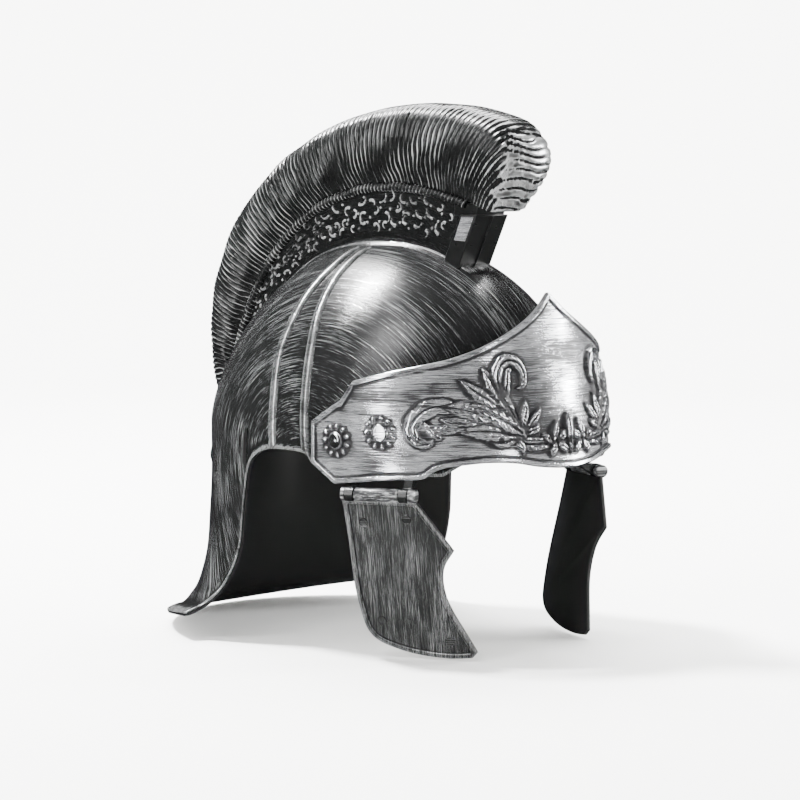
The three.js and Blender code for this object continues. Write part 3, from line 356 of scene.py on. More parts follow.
def rib(name, table, sign):
    """A rounded band up the dome along the line of its table, sunk into the shell."""
    highs = np.linspace(-0.075, 0.955, 190)
    centre = half_length * curve_through(*table, np.clip(highs, -0.06, 0.93))
    across = np.linspace(-1, 1, 17)
    taper = (1 - 0.5 * ramp(0.84, 0.96, highs))[:, None]
    ys = centre[:, None] + across[None] * 3.7 * taper
    zs = np.broadcast_to(equator + rise * highs[:, None], ys.shape)
    xs = -skull_reach(ys, zs)
    e = 0.4
    ny = (skull_reach(ys - e, zs) - skull_reach(ys + e, zs)) / (2 * e)
    nz = (skull_reach(ys, zs - e) - skull_reach(ys, zs + e)) / (2 * e)
    normal = np.stack([-np.ones_like(ny), ny, nz], -1)
    normal /= np.linalg.norm(normal, axis=-1, keepdims=True)
    lift = -0.9 + 2.9 * (1 - np.abs(across) ** 2.6) ** 0.7
    lift = lift[None] * (0.6 + 0.4 * taper) - 0.9 * ramp(0.93, 0.955, highs)[:, None]
    p = np.stack([xs, ys, zs], -1) + normal * lift[..., None]
    if sign > 0:
        p = p * [-1, 1, 1]
    edges = np.abs(np.abs(across) - 0.55)
    wear_ = np.where(np.abs(across) > 0.9, -0.7, 0.62 - edges * 0.9)
    make_piece(name, p.reshape(-1, 3), grid_faces(len(highs), len(across), flip=sign > 0), "helmet",
               (), skull_strokes(p).reshape(-1, 2) * [0.25, 2.0],
               np.broadcast_to(wear_, ys.shape).ravel(), sharp=80)


for side, sign in both_sides:
    rib(f"front_rib_{side}", front_rib, sign)
    rib(f"rear_rib_{side}", rear_rib, sign)

# %% [markdown]
# ## The visor
# A leaning oval band with a raised rim, a groove inside the rim, two rosettes and an acanthus
# scroll on each side. The relief is a height field drawn on the unrolled band: every leaf lobe is a
# stroke with a swelling width, a rounded back and a vein, and overlapping lobes keep the higher one.

# %% Visor band
visor_base = equator - 19
visor_zero = visor_base - 2
visor_height = 107.0
visor_half_width, visor_length, visor_middle = 103, 118, -24
visor_lean, visor_bulge = 0.19, 2.2
visor_angle = [0, 7, 15, 23, 32, 41, 46, 49, 52.7, 61, 72.6, 77.5, 80.4, 88.8]
visor_top = [1, 0.908, 0.832, 0.768, 0.706, 0.657, 0.637, 0.627, 0.613, 0.583, 0.529, 0.416, 0.388,
             0.294]
visor_foot = [0.037, 0.043, 0.058, 0.082, 0.09, 0.078, 0.064, 0.045, 0.004, -0.006, -0.028, -0.038,
              -0.045, 0.061]


def visor_wall(angle, z):
    """Outside of the band at an angle from the middle of the face and at a height."""
    sine, cosine = np.sin(np.radians(angle)), np.cos(np.radians(angle))
    swell = (np.abs(sine) ** visor_bulge + np.abs(cosine) ** visor_bulge) ** (-1 / visor_bulge)
    length = visor_length - visor_lean * (z - visor_base)
    return np.stack([-visor_half_width * sine * swell, visor_middle - length * cosine * swell,
                     z + 0 * angle], -1)


def visor_edge(values, angle, corners):
    """Height of the band's top or foot at an angle."""
    return visor_zero + visor_height * curve_through(visor_angle, values, np.abs(angle), corners)


fine = np.linspace(0, visor_angle[-1], 1200)
line = visor_wall(fine, np.full_like(fine, visor_base))
run = np.concatenate([[0], np.cumsum(np.linalg.norm(np.diff(line, axis=0), axis=1))])
stretch = run[-1]
edge_near = np.array([0, 0.3, 0.6, 1.0, 1.6, 2.2, 2.6, 2.9, 3.2, 3.6, 4.2])
edge_strip = 4.8
places = np.concatenate([np.linspace(0, stretch - edge_strip, 236), stretch - edge_near[::-1]])
half_angle = np.interp(places, run, fine)
angles = np.concatenate([-half_angle[:0:-1], half_angle])
top = visor_edge(visor_top, angles, corners=(0, 10, 11, 13))
foot = visor_edge(visor_foot, angles, corners=(10, 12, 13))
tall = top - foot
between = np.linspace(0, 1, 132)
v = np.concatenate([foot[None] + edge_near[:, None],
                    foot[None] + edge_strip + (tall - 2 * edge_strip)[None] * between[:, None],
                    top[None] - edge_near[::-1][:, None]])
A = np.broadcast_to(angles, v.shape)
visor_grid = visor_wall(A, v)
visor_normal = normals_of(visor_grid)
middle = visor_grid.shape[1] // 2
if visor_normal[50, middle, 1] > 0:
    visor_normal = -visor_normal
S = np.sign(A) * np.interp(np.abs(A), fine, run)
print("visor band is", round(2 * float(stretch), 1), "mm round,", visor_grid.shape)

# %% [markdown]
# The leaf strokes are given by angle from the middle of the face and by height as a share of the
# band. Each lobe's cross height is a rounded back that falls quickly at its edges, with a thin cut
# for the vein and fine ribs that leave the vein at a slant, as on a carved leaf. A row holds half
# the lobe's width, its height, where it is fattest and the points of its middle line.

# %% Leaf strokes
leaves = [
    (1.9, 0.5, 0.9, [(21, 0.25), (27, 0.285), (33, 0.31), (39, 0.33)]),
    (1.1, 0.5, 0.9, [(22, 0.3), (25.5, 0.38), (28.5, 0.44), (31.5, 0.48)]),
    (1.05, 1.0, 0.6, [(20.5, 0.235), (27, 0.25), (33, 0.262), (41, 0.262)]),
    (1.0, 1.25, 0.7, [(20.8, 0.25), (26, 0.31), (31, 0.36), (36.5, 0.41)]),
    (0.62, 0.95, 0.5, [(21.5, 0.235), (25, 0.215), (28.5, 0.2), (31.5, 0.207)]),
    (0.8, 1.1, 0.6, [(24, 0.33), (30, 0.42), (34, 0.47), (38.8, 0.54)]),
    (0.8, 1.1, 0.6, [(22.5, 0.33), (26, 0.43), (29, 0.52), (31.2, 0.61)]),
    (0.66, 1.2, 0.3, [(21.5, 0.3), (25, 0.42), (27, 0.53), (25.5, 0.61), (22.5, 0.64), (19, 0.62),
                      (17.2, 0.56), (18, 0.5), (20.5, 0.485)]),
    (0.5, 1.0, 0.3, [(25.5, 0.4), (24, 0.5), (23, 0.575), (20.8, 0.6)]),
    (0.85, 1.1, 0.5, [(29, 0.31), (34, 0.355), (40, 0.385), (45.5, 0.395)]),
    (0.8, 1.0, 0.4, [(38, 0.37), (44, 0.4), (49.5, 0.385), (53.5, 0.33), (55, 0.27), (53.5, 0.21),
                     (50, 0.195), (48, 0.225)]),
    (0.5, 0.8, 0.6, [(32, 0.3), (37, 0.315), (42, 0.315), (46, 0.33)]),
    (0.45, 0.8, 0.6, [(37, 0.285), (42, 0.28), (46.5, 0.27), (50.5, 0.285)]),
    (0.4, 0.9, 0.5, [(50.5, 0.3), (49, 0.26), (47, 0.235), (45.8, 0.25)]),
    (0.5, 1.0, 0.5, [(19.8, 0.27), (19, 0.32), (18, 0.37), (17.5, 0.425)]),
    (0.42, 0.9, 0.5, [(18.8, 0.25), (16, 0.3), (13.5, 0.34), (11.3, 0.375)]),
    (0.42, 0.9, 0.5, [(18.8, 0.24), (16.5, 0.255), (14.5, 0.265), (13.2, 0.29)]),
    (0.4, 0.9, 0.4, [(23.8, 0.205), (22.2, 0.19), (20.8, 0.165), (20.6, 0.125)]),
    (0.34, 0.8, 0.2, [(22, 0.215), (17, 0.2), (12, 0.195), (8, 0.185)]),
    (0.3, 0.8, 0.2, [(21, 0.17), (17, 0.16), (13, 0.16), (9, 0.16)]),
    (0.42, 0.95, 0.5, [(7.5, 0.2), (6.8, 0.235), (5.9, 0.27), (5.0, 0.3)]),
    (0.42, 0.95, 0.5, [(9.5, 0.19), (10.6, 0.205), (11.8, 0.215), (13, 0.22)]),
    (0.42, 0.95, 0.5, [(7.5, 0.17), (8.3, 0.15), (9.2, 0.13), (9.9, 0.11)]),
    (0.42, 0.95, 0.5, [(5.5, 0.17), (4.2, 0.155), (3.0, 0.14), (2.2, 0.12)]),
    (0.42, 0.95, 0.5, [(5.5, 0.2), (4.0, 0.21), (2.8, 0.225), (1.6, 0.25)]),
]
middle_leaves = [
    (0.5, 1.1, 0.5, [(0, 0.19), (0, 0.24), (0, 0.29), (0, 0.335)]),
    (0.4, 1.0, 0.5, [(0, 0.19), (0, 0.165), (0, 0.14), (0, 0.115)]),
]
print(len(leaves), "lobes on each side")

# %% Heights of the relief
lobe_width, lobe_rise = 6.6, 2.9


def smooth_line(points, count):
    """A fine curve through a few points of a plane."""
    points = np.asarray(points, float)
    rows = np.arange(len(points))
    at = np.linspace(0, len(points) - 1, count)
    return np.stack([curve_through(rows, points[:, k], at) for k in range(2)], -1)


def lobe_height(s_grid, z_grid, half, tall, fattest, stroke):
    """The part of the band that one lobe lies on, and its height there in mm."""
    line = smooth_line(stroke, 26)
    px = np.interp(line[:, 0], fine, run)
    pz = visor_zero + visor_height * line[:, 1]
    t = np.linspace(0, 1, len(px))
    body = np.sin(math.pi * np.clip(0.16 + 0.84 * t ** (0.75 + fattest * 0.5), 0, 1)) ** 0.8
    width = lobe_width * half * body + 0.25
    width = width * (1 + 0.16 * (((t * 6) % 1) - 0.5) * (half > 0.55))
    box = (s_grid > px.min() - 8) & (s_grid < px.max() + 8)
    box &= (z_grid > pz.min() - 8) & (z_grid < pz.max() + 8)
    s, z = s_grid[box], z_grid[box]
    if not len(s):
        return box, np.zeros(0)
    dx, dz = np.diff(px), np.diff(pz)
    length = np.hypot(dx, dz) + 1e-9
    rel_x, rel_z = s[:, None] - px[:-1], z[:, None] - pz[:-1]
    u = np.clip((rel_x * dx + rel_z * dz) / length**2, 0, 1)
    off = np.hypot(rel_x - u * dx, rel_z - u * dz)
    signed = (rel_x * dz - rel_z * dx) / length
    best = np.argmin(off / (width[:-1] + 0.5), axis=1)
    pick = np.arange(len(s))
    here = t[:-1][best] + u[pick, best] / (len(t) - 1)
    across = off[pick, best] / np.interp(here, t, width)
    side = np.sign(signed[pick, best]) * across
    back = np.maximum(0, 1 - across**3.2)
    vein = 0.4 * np.exp(-(across / 0.12) ** 2) * (here < 0.92)
    cuts = 0.12 * np.cos(2 * math.pi * (here * 7 + np.abs(side) * 0.8)) * np.clip(across, 0, 0.8)
    lean = 0.16 * side
    shape = back**0.55 * (0.7 + lean + 0.3 * np.sin(math.pi * here)) - (vein + cuts) * back
    return box, np.maximum(shape, 0) * lobe_rise * tall


def relief_height():
    """Height of all the lobes together, and where one lobe meets the next."""
    found = np.zeros(v.shape)
    owner = np.zeros(v.shape)
    s_abs = np.abs(S)
    for number, (half, tall_, fat, stroke) in enumerate(leaves + middle_leaves, 1):
        box, h = lobe_height(s_abs, v, half, tall_, fat, stroke)
        owner[box] = np.where(h > found[box] + 0.05, number, owner[box])
        found[box] = np.maximum(found[box], h)
    seam = np.zeros(v.shape)
    for axis in (0, 1):
        step = (np.abs(np.diff(owner, axis=axis)) > 0).astype(float)
        seam[:-1 if axis == 0 else None, :-1 if axis == 1 else None] += step
        seam[1 if axis == 0 else 0:, 1 if axis == 1 else 0:] += step
    return found, np.minimum(blur(np.minimum(seam, 1), 1) * 1.6, 1)


def rosette_height(angle, z):
    """Height of a rosette of eleven petals round a raised disc."""
    ds = np.abs(S) - np.interp(angle, fine, run)
    dz = v - z
    r = np.hypot(ds, dz)
    spin = np.arctan2(dz, ds)
    petal = 0.5 + 0.5 * np.cos(11 * spin)
    reach = 10.6 * (0.84 + 0.16 * petal)
    cup = ramp(5.4, 6.4, r) * (1 - ramp(reach - 1.2, reach, r))
    petals = cup * (0.25 + 1.5 * petal**0.9) * (0.6 + 0.5 * ramp(5.5, 9.0, r))
    disc = (1 - ramp(4.9, 5.5, r)) * (1.7 + 0.25 * np.sqrt(np.maximum(0, 1 - (r / 5.4) ** 2)))
    return petals + disc


relief, seam = relief_height()
relief = relief - 0.45 * seam * (relief > 0.3)
dark_ring = np.zeros(v.shape)
for ring_angle, ring_z in ((64.5, visor_zero + visor_height * 0.25), (79.3, equator)):
    flower = rosette_height(ring_angle, ring_z)
    from_middle = np.hypot(np.abs(S) - np.interp(ring_angle, fine, run), v - ring_z)
    relief = np.maximum(relief, flower)
    between_petals = 1.0 - 1.3 * np.clip(flower / 1.6, 0, 1) ** 4
    dark_ring += ramp(4.7, 5.5, from_middle) * (1 - ramp(9.8, 11.0, from_middle)) * between_petals
    dark_ring += 0.15 * (1 - ramp(4.0, 4.8, from_middle))
from_end = stretch - np.abs(S)
slope_top = np.gradient(top, S[0])
slope_foot = np.gradient(foot, S[0])
from_top, from_foot = (top - v) / np.sqrt(1 + slope_top**2), (v - foot) / np.sqrt(1 + slope_foot**2)
inset = np.minimum(np.minimum(from_top, from_foot), from_end)
rim = 1.1 * (1 - ramp(2.5, 3.1, inset)) - 0.35 * np.exp(-((inset - 3.6) / 0.5) ** 2)
lip = np.where(inset < 0.9, 0.9 - np.sqrt(np.maximum(0, 0.81 - (0.9 - inset) ** 2)), 0)
relief = relief * ramp(2.6, 3.4, inset)
visor_height_field = relief + rim - lip
print("relief rises", round(float(relief.max()), 2), "mm")

# %% Visor mesh
def close_sheet(front, back):
    """One closed skin round a front grid and a back grid of the same columns and row ends."""
    fr, fc = front.shape[:2]
    br = back.shape[0]
    shift = fr * fc
    faces = [grid_faces(fr, fc, 0), grid_faces(br, fc, shift, flip=True)]
    j = np.arange(fc - 1)
    low = np.stack([j, shift + j, shift + j + 1, j + 1], -1)
    high_f, high_b = (fr - 1) * fc + j, shift + (br - 1) * fc + j
    high = np.stack([high_f + 1, high_b + 1, high_b, high_f], -1)
    faces += [low, high]
    rows_back = np.round(np.linspace(0, fr - 1, br)).astype(int)
    sides = []
    for col, flip in ((0, False), (fc - 1, True)):
        for k in range(br - 1):
            a, b = rows_back[k], rows_back[k + 1]
            ring = [i * fc + col for i in range(a, b + 1)]
            ring += [shift + (k + 1) * fc + col, shift + k * fc + col]
            sides.append(ring if flip else ring[::-1])
    return [list(f) for part in faces for f in part] + sides


visor_front = visor_grid + visor_normal * visor_height_field[..., None]
back_rows = np.round(np.linspace(0, v.shape[0] - 1, 15)).astype(int)
visor_back = (visor_grid - visor_normal * 2.0)[back_rows]
visor_points = np.concatenate([visor_front.reshape(-1, 3), visor_back.reshape(-1, 3)])
visor_faces = close_sheet(visor_front, visor_back)
# Paint and painted shade: what stands proud gains paint, but below zero the value counts 1.9 times, which paints
# shade into the hollows round the relief. The lines where two lobes meet are darkened partly as paint missing in
# the cut and partly as painted shade.
proud = visor_height_field - blur(visor_height_field, 6)
proud = np.where(proud < 0, proud * 1.9, proud * 1.1) - 0.9 * seam - dark_ring
groove = np.exp(-((inset - 3.7) / 0.7) ** 2)
proud = proud - 0.8 * groove
front_strokes = np.stack([S, v - visor_zero], -1)
visor_strokes = np.concatenate([front_strokes.reshape(-1, 2), front_strokes[back_rows].reshape(-1, 2)])
visor_wear_and_shade = np.concatenate([proud.ravel(), np.full(visor_back.size // 3, -9.0)])
make_piece("visor_plate", visor_points, visor_faces, "visor", ["visor"],
           visor_strokes, visor_wear_and_shade, sharp=60)

# %% [markdown]
# ## The plume
# On the real helmet the plume is one hollow moulding whose ridges stand for brushed hair. Here it
# is a loft through the sections of the solid, with about a hundred ridges pressed into it. The
# grooves are narrow and the ridges broad and round. On the blunt front end they run across.

# %% Plume sections
crest_turn = [-36.6, -35.6, -33.6, -30.5, -27, -19, -7, 3, 13, 24, 34, 47, 59, 69, 77, 84, 88, 90.5]
crest_base = [1.539, 1.347, 1.195, 1.146, 1.138, 1.088, 1.039, 1.0, 0.953, 0.914, 0.831, 0.696, 0.533,
              0.403, 0.283, 0.195, 0.153, 0.141]
crest_height = [0.36, 0.62, 0.85, 0.96, 1, 0.965, 0.885, 0.82, 0.777, 0.732, 0.72, 0.696, 0.616, 0.5,
                0.384, 0.286, 0.2, 0.107]
crest_half = [0.25, 0.58, 0.84, 0.96, 1, 1, 0.98, 0.97, 0.95, 0.93, 0.9, 0.88, 0.84, 0.78, 0.7, 0.6, 0.46, 0.3]
crest_gap, crest_tall, crest_wide, section_tall = 34, 56, 24.5, 50
crest_front, crest_back = -36.6, 90.5
section_across = [0, 0.3, 0.6, 0.88, 1, 0.94, 0.72, 0.38, 0]
section_up = [0, 0, 0, 0.24, 0.55, 0.78, 0.92, 0.985, 1]


def skull_radius(turn):
    """How far from the middle of the widest line the skull's outside lies, in the side view."""
    turn = np.radians(np.asarray(turn, float))
    near, far = np.zeros_like(turn), np.full_like(turn, 2 * half_length)
    fullness = np.where(turn < 0, 2.0, 1.5)
    for _ in range(40):
        middle = (near + far) / 2
        high = middle * np.cos(turn) / rise
        shrink = np.sqrt(np.maximum(0, 1 - np.clip(high, 0, 1) ** fullness))
        inside = (high < 1) & (np.abs(middle * np.sin(turn)) / half_length < shrink)
        near, far = np.where(inside, middle, near), np.where(inside, far, middle)
    return near


def base_radius(turn):
    return skull_radius(turn) + crest_gap * curve_through(crest_turn, crest_base, turn)


def round_section(count):
    """Half of the plume's section from the middle of its foot to the middle of its top."""
    rows = np.arange(len(section_across))
    at = np.linspace(0, len(rows) - 1, 300)
    size = [crest_wide, section_tall]
    line = np.stack([curve_through(rows, section_across, at, corners=(2,)),
                     curve_through(rows, section_up, at, corners=(2,))], -1) * size
    even = walk(line, 1)
    return even[np.round(np.linspace(0, len(even) - 1, count)).astype(int)] / size


half_section = round_section(60)
section = np.concatenate([half_section, half_section[-2:0:-1] * [-1, 1]])
ridges = 105
front_turns = crest_front + 4.0 * np.linspace(0, 1, 46) ** 2
crest_turns = np.concatenate([[crest_front] * 4, front_turns, np.linspace(-32.6, crest_back, ridges * 6)[1:]])
closing = np.ones((len(crest_turns), 1))
closing[:4, 0] = [0.04, 0.3, 0.56, 0.8]
base = base_radius(crest_turns)[:, None]
tall = crest_tall * curve_through(crest_turn, crest_height, crest_turns)[:, None]
half = crest_wide * curve_through(crest_turn, crest_half, crest_turns)[:, None]
crest_x = section[None, :, 0] * half * closing
crest_r = base + (0.5 + (section[None, :, 1] - 0.5) * closing) * tall
turns = np.broadcast_to(np.radians(crest_turns)[:, None], crest_x.shape)
plume_grid = np.stack([-crest_x, crest_r * np.sin(turns), equator + crest_r * np.cos(turns)], -1)
plume_normal = normals_of(plume_grid, wrap=True)
centre = plume_grid.mean(1, keepdims=True)
if ((plume_grid - centre) * plume_normal).sum(-1)[400].mean() < 0:
    plume_normal = -plume_normal
print("plume grid", plume_grid.shape)

# %% Ridges of the plume
def wander(a, b, seed):
    """A slow, repeatable wobble over two coordinates."""
    rng = np.random.default_rng(seed)
    total = np.zeros(np.broadcast(a, b).shape)
    for _ in range(7):
        fa, fb, shift = rng.uniform(0.4, 1.6), rng.uniform(0.4, 1.6), rng.uniform(0, 6.28)
        total = total + np.sin(a * fa + b * fb + shift) / 3.5
    return total


level = section[None, :, 1] + 0 * turns
side = np.abs(section[None, :, 0]) + 0 * turns
degrees = np.degrees(turns)
fan = np.clip((-18 - degrees) / 14, 0, 1) * (1 - level) * 6
count = (degrees - fan + 36.6) / 127.1 * ridges
count = count + 0.3 * wander(degrees / 5, level * 5, 3) + 0.1 * wander(degrees * 1.1, level * 14, 4)
ridge = np.abs(np.sin(math.pi * count)) ** 0.75
depth = (0.75 + 0.45 * ramp(0.1, 0.9, side)) * (0.85 + 0.3 * wander(degrees / 2.2, level * 6, 5))
around = ridge * depth * ramp(0.02, 0.14, level)
towards_front = -plume_normal[..., 1] * 0.9 - plume_normal[..., 2] * 0.15
facing = ramp(0.3, 0.62, towards_front + 0.08 * wander(level * 9, side * 9, 9))
facing = np.where(closing < 1, 1.0, facing * (1 - ramp(-31, -25, degrees)))
stacked = plume_grid[..., 2] / 5.4 + 0.42 * wander(plume_grid[..., 0] / 6, plume_grid[..., 2] / 10, 6)
groove_depth = 0.9 + 0.5 * wander(plume_grid[..., 0] / 4, plume_grid[..., 2] / 6, 12)
end_ridge = 2.0 - groove_depth * 1.5 * np.maximum(0, 1 - 1.35 * np.abs(np.sin(math.pi * stacked)))
plume_height = around * (1 - facing) + (end_ridge - 1.7) * facing
plume_height = plume_height - 1.1 * ramp(0.0, 0.12, level) * (closing == 1)
plume_out = plume_grid + plume_normal * plume_height[..., None]
print("ridge depth about", round(float(np.ptp(plume_height)), 2), "mm")

# %% Plume mesh
pr, pc = plume_grid.shape[:2]
plume_points = np.concatenate([plume_out.reshape(-1, 3), [plume_out[0].mean(0), plume_out[-1].mean(0)]])
plume_faces = [list(f) for f in grid_faces(pr, pc, 0, wrap=True)]
for j in range(pc):
    k = (j + 1) % pc
    plume_faces.append([pr * pc, j, k][::-1])
    plume_faces.append([pr * pc + 1, (pr - 1) * pc + j, (pr - 1) * pc + k])
around_mm = np.linspace(0, 130, pc)[None, :] + 0 * turns
plume_strokes = np.stack([around_mm, np.radians(degrees) * 190], -1).reshape(-1, 2)
plume_strokes = np.concatenate([plume_strokes, [[0, 0], [0, 0]]])
line_paint = 1.1 * ridge**5 * (0.92 + 0.14 * wander(degrees / 3, level * 8, 14))
line_paint = line_paint - 0.7 - 0.12 * ramp(0.6, 0.95, level)
end_paint = 0.75 - 2.6 * np.maximum(0, 1.7 - end_ridge)
ragged = 2.0 * wander(level * 15, side * 8, 16) + 0.8 * wander(level * 40, degrees * 2, 17)
spill = 1 - ramp(-34.8, -32.6, degrees + ragged)
smeared = np.clip(facing + 0.85 * spill, 0, 1)
plume_wear = line_paint * (1 - smeared) + end_paint * facing + 0.7 * (smeared - facing)
plume_wear = np.concatenate([plume_wear.ravel(), [0.6, 0]])
make_piece("plume_ridges", plume_points, plume_faces, "helmet", ["plume"],
           plume_strokes, plume_wear, sharp=75)

# %% [markdown]
# ## The crest holder
# A flat-sided plate between the dome and the plume, with cast scrolls and dots on both faces, a
# rope moulding along its top edge, a square block in front and a curled tail behind. The scrolls
# are again a height field, this time over turn and radius.

# %% Scroll field
holder_turns = np.radians(np.concatenate([np.linspace(-27, 60, 492), np.linspace(60.5, 98, 78)]))
holder_levels = np.linspace(0, 1, 78)
T_, L_ = np.meshgrid(holder_turns, holder_levels, indexing="ij")
upper = base_radius(np.clip(np.degrees(T_), crest_front, crest_back)) - 0.3
lower = skull_radius(np.degrees(T_)) - 2.0
R_ = lower + (upper - lower) * L_
arc_radius = 132
arc = T_ * arc_radius


def blob(s0, r0, size, high):
    """A round drop on the holder's face."""
    return high * np.sqrt(np.maximum(0, 1 - ((arc - s0) / size) ** 2 - ((R_ - r0) / size) ** 2))


def comma(s0, r0, length, lean, bend, thick):
    """A round head with a thin tail that curls away, from overlapping round strokes."""
    out = np.zeros_like(arc)
    for t in np.linspace(0, 1, 13):
        width = thick * (1 - 0.7 * t)
        out = np.maximum(out, blob(s0, r0, width, 1.15 - 0.5 * t))
        s0, r0, lean = s0 + math.cos(lean) * length / 12, r0 + math.sin(lean) * length / 12, lean + bend / 12
    return out


rng = np.random.default_rng(11)
scrolls = np.zeros_like(arc)
first, last = math.radians(-25) * arc_radius, math.radians(62) * arc_radius
count_scrolls = 0
for row, share in enumerate((0.84, 0.54, 0.22)):
    s = first + 3 + 2.6 * row
    while s < last:
        low_here = float(np.interp(s / arc_radius, holder_turns, lower[:, 0])) + 6
        width_here = float(np.interp(s / arc_radius, holder_turns, upper[:, 0])) - 7 - low_here
        if width_here < 3 or (row == 2 and width_here < 14):
            s += 8
            continue
        r0 = low_here + width_here * share + rng.uniform(-1.1, 1.1)
        hand = 1 if rng.uniform() < 0.5 else -1
        lean = rng.uniform(-0.5, 0.5) + (math.pi if rng.uniform() < 0.35 else 0)
        tail_length, bend, thick = rng.uniform(5.5, 8.5), hand * rng.uniform(1.6, 3.4), rng.uniform(1.0, 1.4)
        scrolls = np.maximum(scrolls, comma(s, r0, tail_length, lean, bend, thick))
        dot_r = r0 + rng.uniform(-3.2, 3.2)
        scrolls = np.maximum(scrolls, blob(s + rng.uniform(4.5, 6.5), dot_r, 0.95, 1.1))
        count_scrolls += 1
        s += rng.uniform(8.0, 10.5)
fade = 1 - ramp(math.radians(52), math.radians(70), T_)
wisps = 0.16 * np.maximum(0, np.sin(arc * 0.3 + R_ * 1.15 + wander(arc / 7, R_ / 6, 8) * 2.4)) ** 3
holder_height = scrolls * fade + wisps * (0.5 + 0.7 * (1 - fade))
print(count_scrolls, "scrolls on each face")

# %% Holder plate, rope, block and tail
def side_grid(sign):
    x = sign * (13 + holder_height)
    p = np.stack([x, R_ * np.sin(T_), equator + R_ * np.cos(T_)], -1)
    return p


holder_points, holder_faces, holder_strokes, holder_wear_and_shade = [], [], [], []
start = 0
holder_proud = holder_height - blur(holder_height, 7)
# Paint and painted shade: the scrolls gain paint, and below zero the value counts twice, which paints shade onto
# the plate round each scroll.
holder_proud = np.where(holder_proud < 0, 2.0, 1.0) * holder_proud + 0.35 * ramp(0.3, 0.7, scrolls * fade)
for sign in (-1, 1):
    p = side_grid(sign)
    a, b = p.shape[:2]
    holder_points.append(p.reshape(-1, 3))
    holder_faces += [list(f) for f in grid_faces(a, b, start, flip=sign > 0)]
    holder_strokes.append(np.stack([arc, R_], -1).reshape(-1, 2))
    holder_wear_and_shade.append(holder_proud.ravel())
    start += a * b
a, b = T_.shape
for i in range(a - 1):
    left, right = i * b, a * b + i * b
    holder_faces.append([left, left + b, right + b, right])
    holder_faces.append([left + b - 1, right + b - 1, right + 2 * b - 1, left + 2 * b - 1])
for i, flip in ((0, False), (a - 1, True)):
    for j in range(b - 1):
        q = [i * b + j, i * b + j + 1, a * b + i * b + j + 1, a * b + i * b + j]
        holder_faces.append(q[::-1] if flip else q)
make_piece("crest_holder_plate", np.concatenate(holder_points), holder_faces, "helmet",
           ["crest_holder"], np.concatenate(holder_strokes),
           np.concatenate(holder_wear_and_shade), sharp=60)

# %% [markdown]
# The rope moulding reads as a row of fat slanting beads that overlap. A tube whose radius swells
# along its length, with the swelling turned a little round the tube, gives that twist.

# %% Rope moulding
def rope(sign, name):
    turns_ = np.radians(np.linspace(-27, 92, 900))
    radius_ = base_radius(np.clip(np.degrees(turns_), crest_front, crest_back)) - 2.7
    along = np.concatenate([[0], np.cumsum(radius_[1:] * np.diff(turns_))])
    spin = np.linspace(0, 2 * math.pi, 17)[:-1]
    U, K = np.meshgrid(along, spin, indexing="ij")
    phase = U / 2.9 * math.pi + 0.5 * np.sin(K + 0.6)
    swell = np.abs(np.sin(phase)) ** 0.7
    r = 2.15 + 0.8 * swell
    tau, rad = turns_[:, None], radius_[:, None]
    out = np.cos(K) * r
    x = sign * (13.6 + np.sin(K) * r)
    p = np.stack([x, (rad + out) * np.sin(tau), equator + (rad + out) * np.cos(tau)], -1)
    m = len(spin)
    faces = [list(f) for f in grid_faces(len(turns_), m, 0, wrap=True, flip=sign > 0)]
    faces += [list(range(m))[::sign * -1], [(len(turns_) - 1) * m + k for k in range(m)][::sign]]
    return make_piece(name, p.reshape(-1, 3), faces, "helmet", (),
                      np.stack([U, K], -1).reshape(-1, 2), (swell - 0.77).ravel() * 1.8, sharp=80)


rope(-1, "rope_moulding_right")
rope(1, "rope_moulding_left")

# %% [markdown]
# Small solid fittings share one maker: an outline in the side view is given some thickness and its
# edges are rounded with a bevel, as a mould rounds every corner.

# %% Plates from a side outline
def plate(name, outline, half_thick, bevel, centre_x=0.0):
    """A plate of the holder from its outline in the side view, with rounded edges."""
    outline = np.asarray(outline, float)
    m = len(outline)
    points = [(centre_x + s * half_thick, p[0], p[1]) for s in (-1, 1) for p in outline]
    faces = [list(range(m)), [m + k for k in range(m)][::-1]]
    faces += [[k, m + k, m + (k + 1) % m, (k + 1) % m] for k in range(m)]
    area = sum(outline[k][0] * outline[(k + 1) % m][1] - outline[(k + 1) % m][0] * outline[k][1] for k in range(m))
    if area > 0:
        faces = [f[::-1] for f in faces]
    strokes = [(p[1] + p[0] * 0.3, p[2]) for p in points]
    piece = make_piece(name, points, faces, "helmet", (), strokes, np.zeros(len(points)), sharp=35)
    soft = piece.modifiers.new("rounded edges", "BEVEL")
    soft.width = bevel * MM
    soft.segments = 3
    soft.limit_method = "ANGLE"
    soft.angle_limit = math.radians(20)


block_top = wall + 15.5
block_side = [(-66, block_top), (-79.3, block_top), (-63.5, block_top - 34), (-51, block_top - 32)]
neck_side = [(-60, block_top + 7), (-79.5, block_top + 7), (-77, block_top - 1), (-60, block_top - 1)]
plate("holder_front_block", block_side, 15, 0.7)
plate("holder_front_neck", neck_side, 13.2, 0.5)
panel = [(-67.4, block_top - 1.2), (-77.0, block_top - 1.2), (-70.2, block_top - 16), (-61.6, block_top - 15.4)]
for side, sign in both_sides:
    plate(f"block_panel_{side}", panel, 0.35, 0.2, centre_x=sign * 15.05)
seam_side = [(-79.4, block_top - 1), (-79.9, block_top - 1), (-65.6, block_top - 31.5),
             (-64.8, block_top - 31.5)]
plate("holder_front_seam", seam_side, 0.5, 0.2)
back = half_length + 1.6
tail_top = equator - 3
tail = np.array([(back - 4, tail_top), (back + 14, tail_top - 5), (back + 26, tail_top - 20),
                 (back + 28, tail_top - 30), (back + 21, tail_top - 34),
                 (back + 13, tail_top - 28), (back - 2, tail_top - 22)])
plate("holder_tail", smooth_line(np.vstack([tail, tail[:1]]), 40)[:-1], 8, 1.4)

# %% [markdown]
# ## Cheek guards
# Each guard is drawn flat, in the plane that hangs from its hinge, and is built from outlines that
# are drawn in step by step: up the outer edge, over the raised rim and down into the field.

